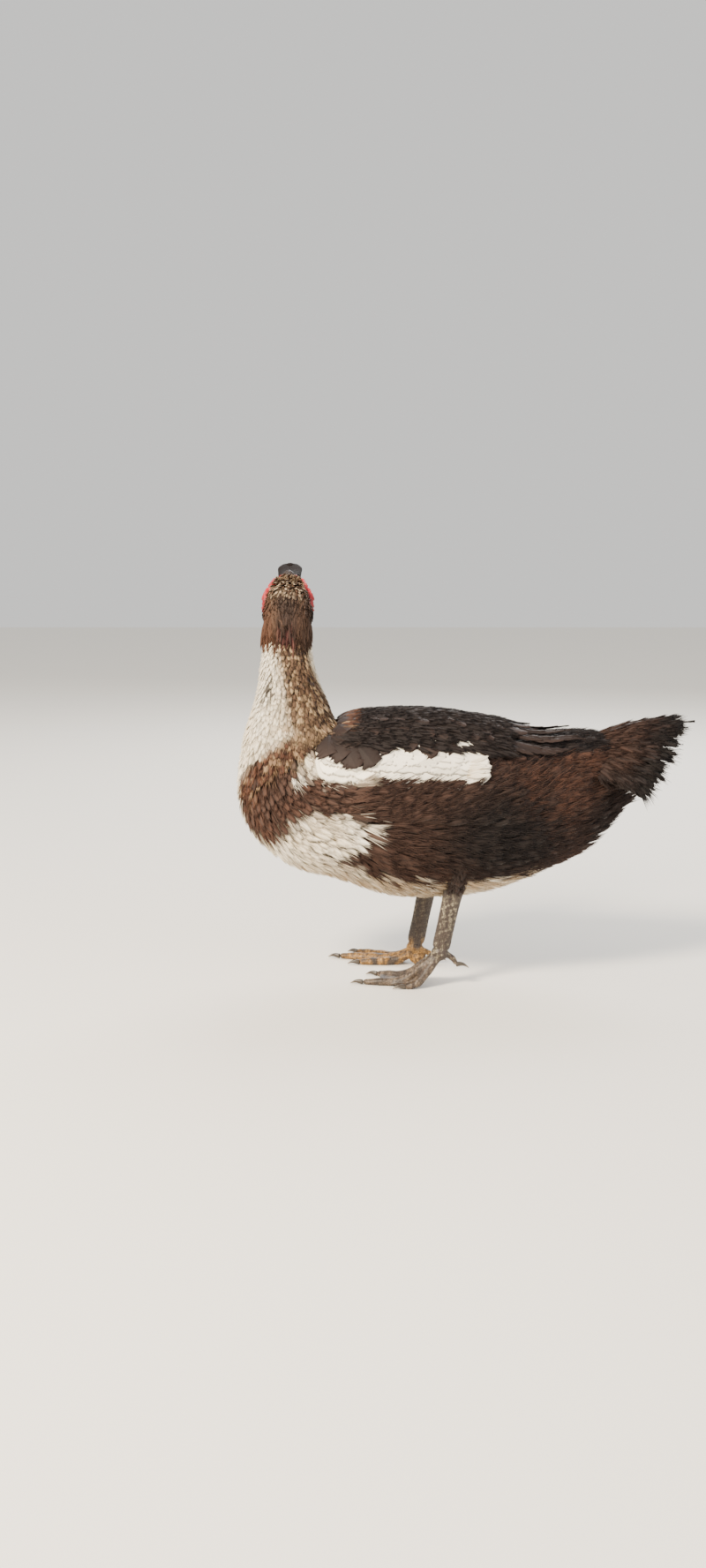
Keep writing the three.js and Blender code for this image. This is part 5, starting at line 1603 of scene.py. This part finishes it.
upper_points, upper_faces = bill_half(UPPER_BILL, (83, 0, -5.2))
x, y, z = upper_points.T.copy()
far = np.hypot((x - NOSTRIL["at"][0]) / NOSTRIL["long"], (z - NOSTRIL["at"][2]) / NOSTRIL["tall"])
pit = (1 - soft(far, 0.55, 1.1)) * (np.abs(y) > 4)
rim = soft(far, 0.9, 1.15) * (1 - soft(far, 1.2, 1.7)) * (np.abs(y) > 4)
upper_points[:, 1] += np.sign(y) * (0.35 * rim - NOSTRIL["deep"] * pit)
bill_horn = horn("smooth dark bill with a thin skin over horn", "#0F0C0B", "#2C2221", 0.82, 4.0)
feed(bill_horn.node_tree.nodes["Principled BSDF"], {"Specular IOR Level": 0.12})
saddle = soft(x, 56, 66) * (1 - soft(x, 72, 78)) * 0.15
upper_form = (in_head(upper_points), upper_faces)
horn_piece("upper_bill", upper_form, bill_horn, saddle * (1 - pit), "bill", "bill_upper")
lower_points, lower_faces = bill_half(LOWER_BILL, (79.4, 0, -9.6))
lower_pale = 0.3 * soft(lower_points[:, 0], 40, 60)
horn_piece("lower_bill", (in_head(lower_points), lower_faces), bill_horn, lower_pale, "bill", "bill_lower")

u, angle = round_grid(np.linspace(0, 1, 26), 24)
nail_wide = 4.3 * np.sqrt(np.clip(1 - np.abs(2 * u - 0.9) ** 2.4 * 0.8, 0.05, 1))
nail_side = np.cos(angle)
nail_x = 75.5 + 8.9 * u
nail_z = -0.8 - 5.0 * u**2.4 - 0.96 * nail_side**2 + 0.95 * np.sin(angle)
nail_form = tube(in_head(np.stack([nail_x, nail_wide * nail_side, nail_z], -1)))
horn_piece("nail", nail_form, bill_horn, np.full(len(nail_form[0]), 0.1), "bill", "bill_nail")
print("bill vertices", len(upper_points) + len(lower_points))

# %% [markdown]
# Round the eye and the bill's root the skin is bare. It is bright red and grows into warts, small
# ones low on the cheek and larger ones along the top edge. It is a grid over the head's own surface
# that stands out by the height of the nearest wart, sinks at its border and opens round the eye.

# %% Bare face
EYE = {"rung": 3.25, "angle": 1.2, "sunk": 3.0, "radius": 5.6}
WARTS = 240
bare_skin, bare_tree, bare_shader = shader_of("bare red skin with warts")
bare_cloud = mottle(bare_tree, 1.1, 4.0)
bare_blush = maths(bare_tree, "MULTIPLY_ADD", bare_cloud, 0.35, attribute(bare_tree, "wart"))
feed(bare_shader, {
    "Base Color": mixed(bare_tree, bare_blush, rgba("#5C0610"), rgba("#B81C28")),
    "Normal": bumped(bare_tree, bare_cloud, 0.4, 0.0003), "Roughness": 0.55,
    "Subsurface Weight": 0.06, "Subsurface Scale": 0.002, "Subsurface Radius": (1.0, 0.3, 0.2),
})


def wart_heights(points, centres, radii, heights):
    """How high the nearest wart stands at each point."""
    tree = search_tree(centres)
    total = np.zeros(len(points))
    for index, point in enumerate(points):
        for _, which, gap in tree.find_n(point, 3):
            dome = math.sqrt(max(0.0, 1 - (gap / radii[which]) ** 2))
            total[index] = max(total[index], heights[which] * dome)
    return total


def on_face(u, v, side):
    """The rung and the angle of a place on the bare face, given by its shares along and down it."""
    return blend(2.3, 5.0, u), blend(0.66, 1.9, v) * side


for side_name, side in SIDES.items():
    draws = np.random.default_rng(430 + side)
    u, v = square_grid(84, 60)
    flat, normal = head_at(*on_face(u, v, side))
    places = flat.reshape(-1, 3)
    wart_u, wart_v = draws.uniform(0.05, 1, WARTS), draws.uniform(0.03, 0.97, WARTS) ** 1.15
    size = 0.9 + 2.3 * (1 - soft(wart_v, 0.05, 0.4)) * draws.uniform(0.5, 1, WARTS)
    size = size + 0.5 * soft(wart_u, 0.6, 1)
    wart_places = head_at(*on_face(wart_u, wart_v, side))[0]
    height = wart_heights(places, wart_places, size * 1.25, size * draws.uniform(0.6, 1.0, WARTS))
    height = height.reshape(u.shape)
    round_eye = np.linalg.norm(flat - head_at(EYE["rung"], EYE["angle"] * side)[0], axis=2)
    rear_edge = u * 1.25 - 0.42 * (1 - soft(v, 0.12, 0.48))
    border = np.minimum.reduce([rear_edge, (1 - v) * 0.9, v * 0.9, 1.2 - u * 0.9])
    inside = soft(border + 0.025 * ripple(places, 6, 44).reshape(u.shape), 0.0, 0.13)
    lift = -2.6 + inside * (3.1 + 1.4 * height * soft(round_eye, 6.2, 8.5))
    lid = soft(round_eye, 4.3, 5.2) * (1 - soft(round_eye, 5.9, 7.6))
    lift = np.where(round_eye < 7.6, lift * (1 - lid) + 2.9 * lid, lift)
    lift = lift - 4.5 * (1 - soft(round_eye, 3.9, 4.7))
    form = slab(flat + normal * lift[..., None], flat - normal * 3.4)
    blush = np.clip(0.12 + 0.3 * height + 0.25 * lid + 0.1 * ripple(places, 12, 45).reshape(u.shape), 0, 1)
    blush = np.append(np.concatenate([blush, blush[:, ::-1]], axis=1), [0.2, 0.2])
    face = made_object("face_" + side_name, *form, bare_skin, {"wart": blush})
    outward(face.data)
    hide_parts("face_skin_" + side_name)
    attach(face, "root")

# %% [markdown]
# The knob over the bill's root is a cluster of warts, dark on top and red at its sides. Balls are
# joined into one skin, as on the legs, and it is pushed out by the height of the nearest wart, as on
# the face.

# %% Knob
KNOB_AT, KNOB_VOXEL = np.array([31.8, 0, 16.0]), 0.0006
# each bump: its middle's offset from the knob's, and its radius
KNOB_BUMPS = [((0, 0, 0), 5.4), ((-1, 6.5, -2.5), 3.4), ((-1, -6.5, -2.5), 3.4), ((4.5, 0, -2), 3.4)]
knob_parts = [ball(in_head(KNOB_AT + np.array(step)), radius) for step, radius in KNOB_BUMPS]
knob = one_skin("forehead_knob", knob_parts, KNOB_VOXEL, 3)
knob_places = coordinates(knob.data)
knob_centres = spread_centres(knob_places, 1.9, 441)
knob_sizes = np.random.default_rng(442).uniform(1.0, 1.5, len(knob_centres))
knob_height = wart_heights(knob_places, knob_centres, knob_sizes, 0.6 * knob_sizes)
knob_out = stood_out(knob.data, knob_places, knob_height)
knob.data.vertices.foreach_set("co", metres(knob_out).ravel())
knob_aside = np.abs(((knob_places - in_head(KNOB_AT)) @ HEAD_TURN)[:, 1])
give(knob.data, "wart", 0.3 * knob_height)
give(knob.data, "dark", 1 - soft(knob_aside, 4.2, 7.0))
knob_skin = bare_skin.copy()
knob_skin.name = "warty skin, dark on top"
knob_tree = knob_skin.node_tree
knob_shader = knob_tree.nodes["Principled BSDF"]
knob_red = knob_shader.inputs["Base Color"].links[0].from_socket
feed(knob_shader, {"Base Color": mixed(knob_tree, attribute(knob_tree, "dark"), knob_red, rgba("#2A201E"))})
knob.data.materials.append(knob_skin)
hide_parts("knob")
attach(knob, "root")

# %% [markdown]
# An eye is a glossy ball: a black pupil, a brown iris with a dark rim, and a clear front that bulges
# a little. How far a point lies from the eye's axis is an attribute that the colours are read from.

# %% Eyes
EYE_STOPS = (
    (0.0, "#050404"), (0.3, "#060504"), (0.33, "#4A2C12"),
    (0.52, "#7A4D20"), (0.6, "#2A1A10"), (0.7, "#1A1210"),
)
eye_glass, eye_tree, eye_shader = shader_of("wet eye with a brown iris")
eye_ramp = node(eye_tree, "ShaderNodeValToRGB", {0: attribute(eye_tree, "ring")})
ramp_stops = eye_ramp.color_ramp.elements
for index, (stop, code) in enumerate(EYE_STOPS):
    element = ramp_stops[index] if index < 2 else ramp_stops.new(stop)
    element.position = stop
    element.color = rgba(code)
feed(eye_shader, {
    "Base Color": eye_ramp.outputs[0], "Roughness": 0.06, "Coat Weight": 1.0, "Coat Roughness": 0.02,
})
for side_name, side in SIDES.items():
    middle, axis = (part.ravel() for part in head_at(EYE["rung"], EYE["angle"] * side, -EYE["sunk"]))
    aside = unit(np.cross(axis, (0.0, 0.0, 1.0)))
    over = np.cross(aside, axis)
    tilt, turn = round_grid(np.linspace(0.02, math.pi - 0.02, 40), 48)
    bulge = EYE["radius"] + 0.45 * np.exp(-((tilt / 0.6) ** 2))
    ring = np.sin(tilt)
    around = aside * (ring * np.cos(turn))[..., None] + over * (ring * np.sin(turn))[..., None]
    form = tube(middle + bulge[..., None] * (around + axis * np.cos(tilt)[..., None]))
    off_axis = np.append(np.where(tilt < math.pi / 2, ring, 1.0), [0.0, 1.0])
    eye = made_object("eyeball_" + side_name, *form, eye_glass, {"ring": off_axis})
    outward(eye.data)
    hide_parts("eye_" + side_name)
    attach(eye, "root")

# %% [markdown]
# Last, everything is measured. The box of the CAD model and the box of what was made here are written
# side by side, so a coat that stands too far off the body shows at once.

# %% Measure, write the sizes and finish
low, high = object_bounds()
for label, (near, far) in (("CAD mm", CAD_BOX), ("visual mm", (low, high))):
    print(label, [round((b - a) / MM, 1) for a, b in zip(near, far)])
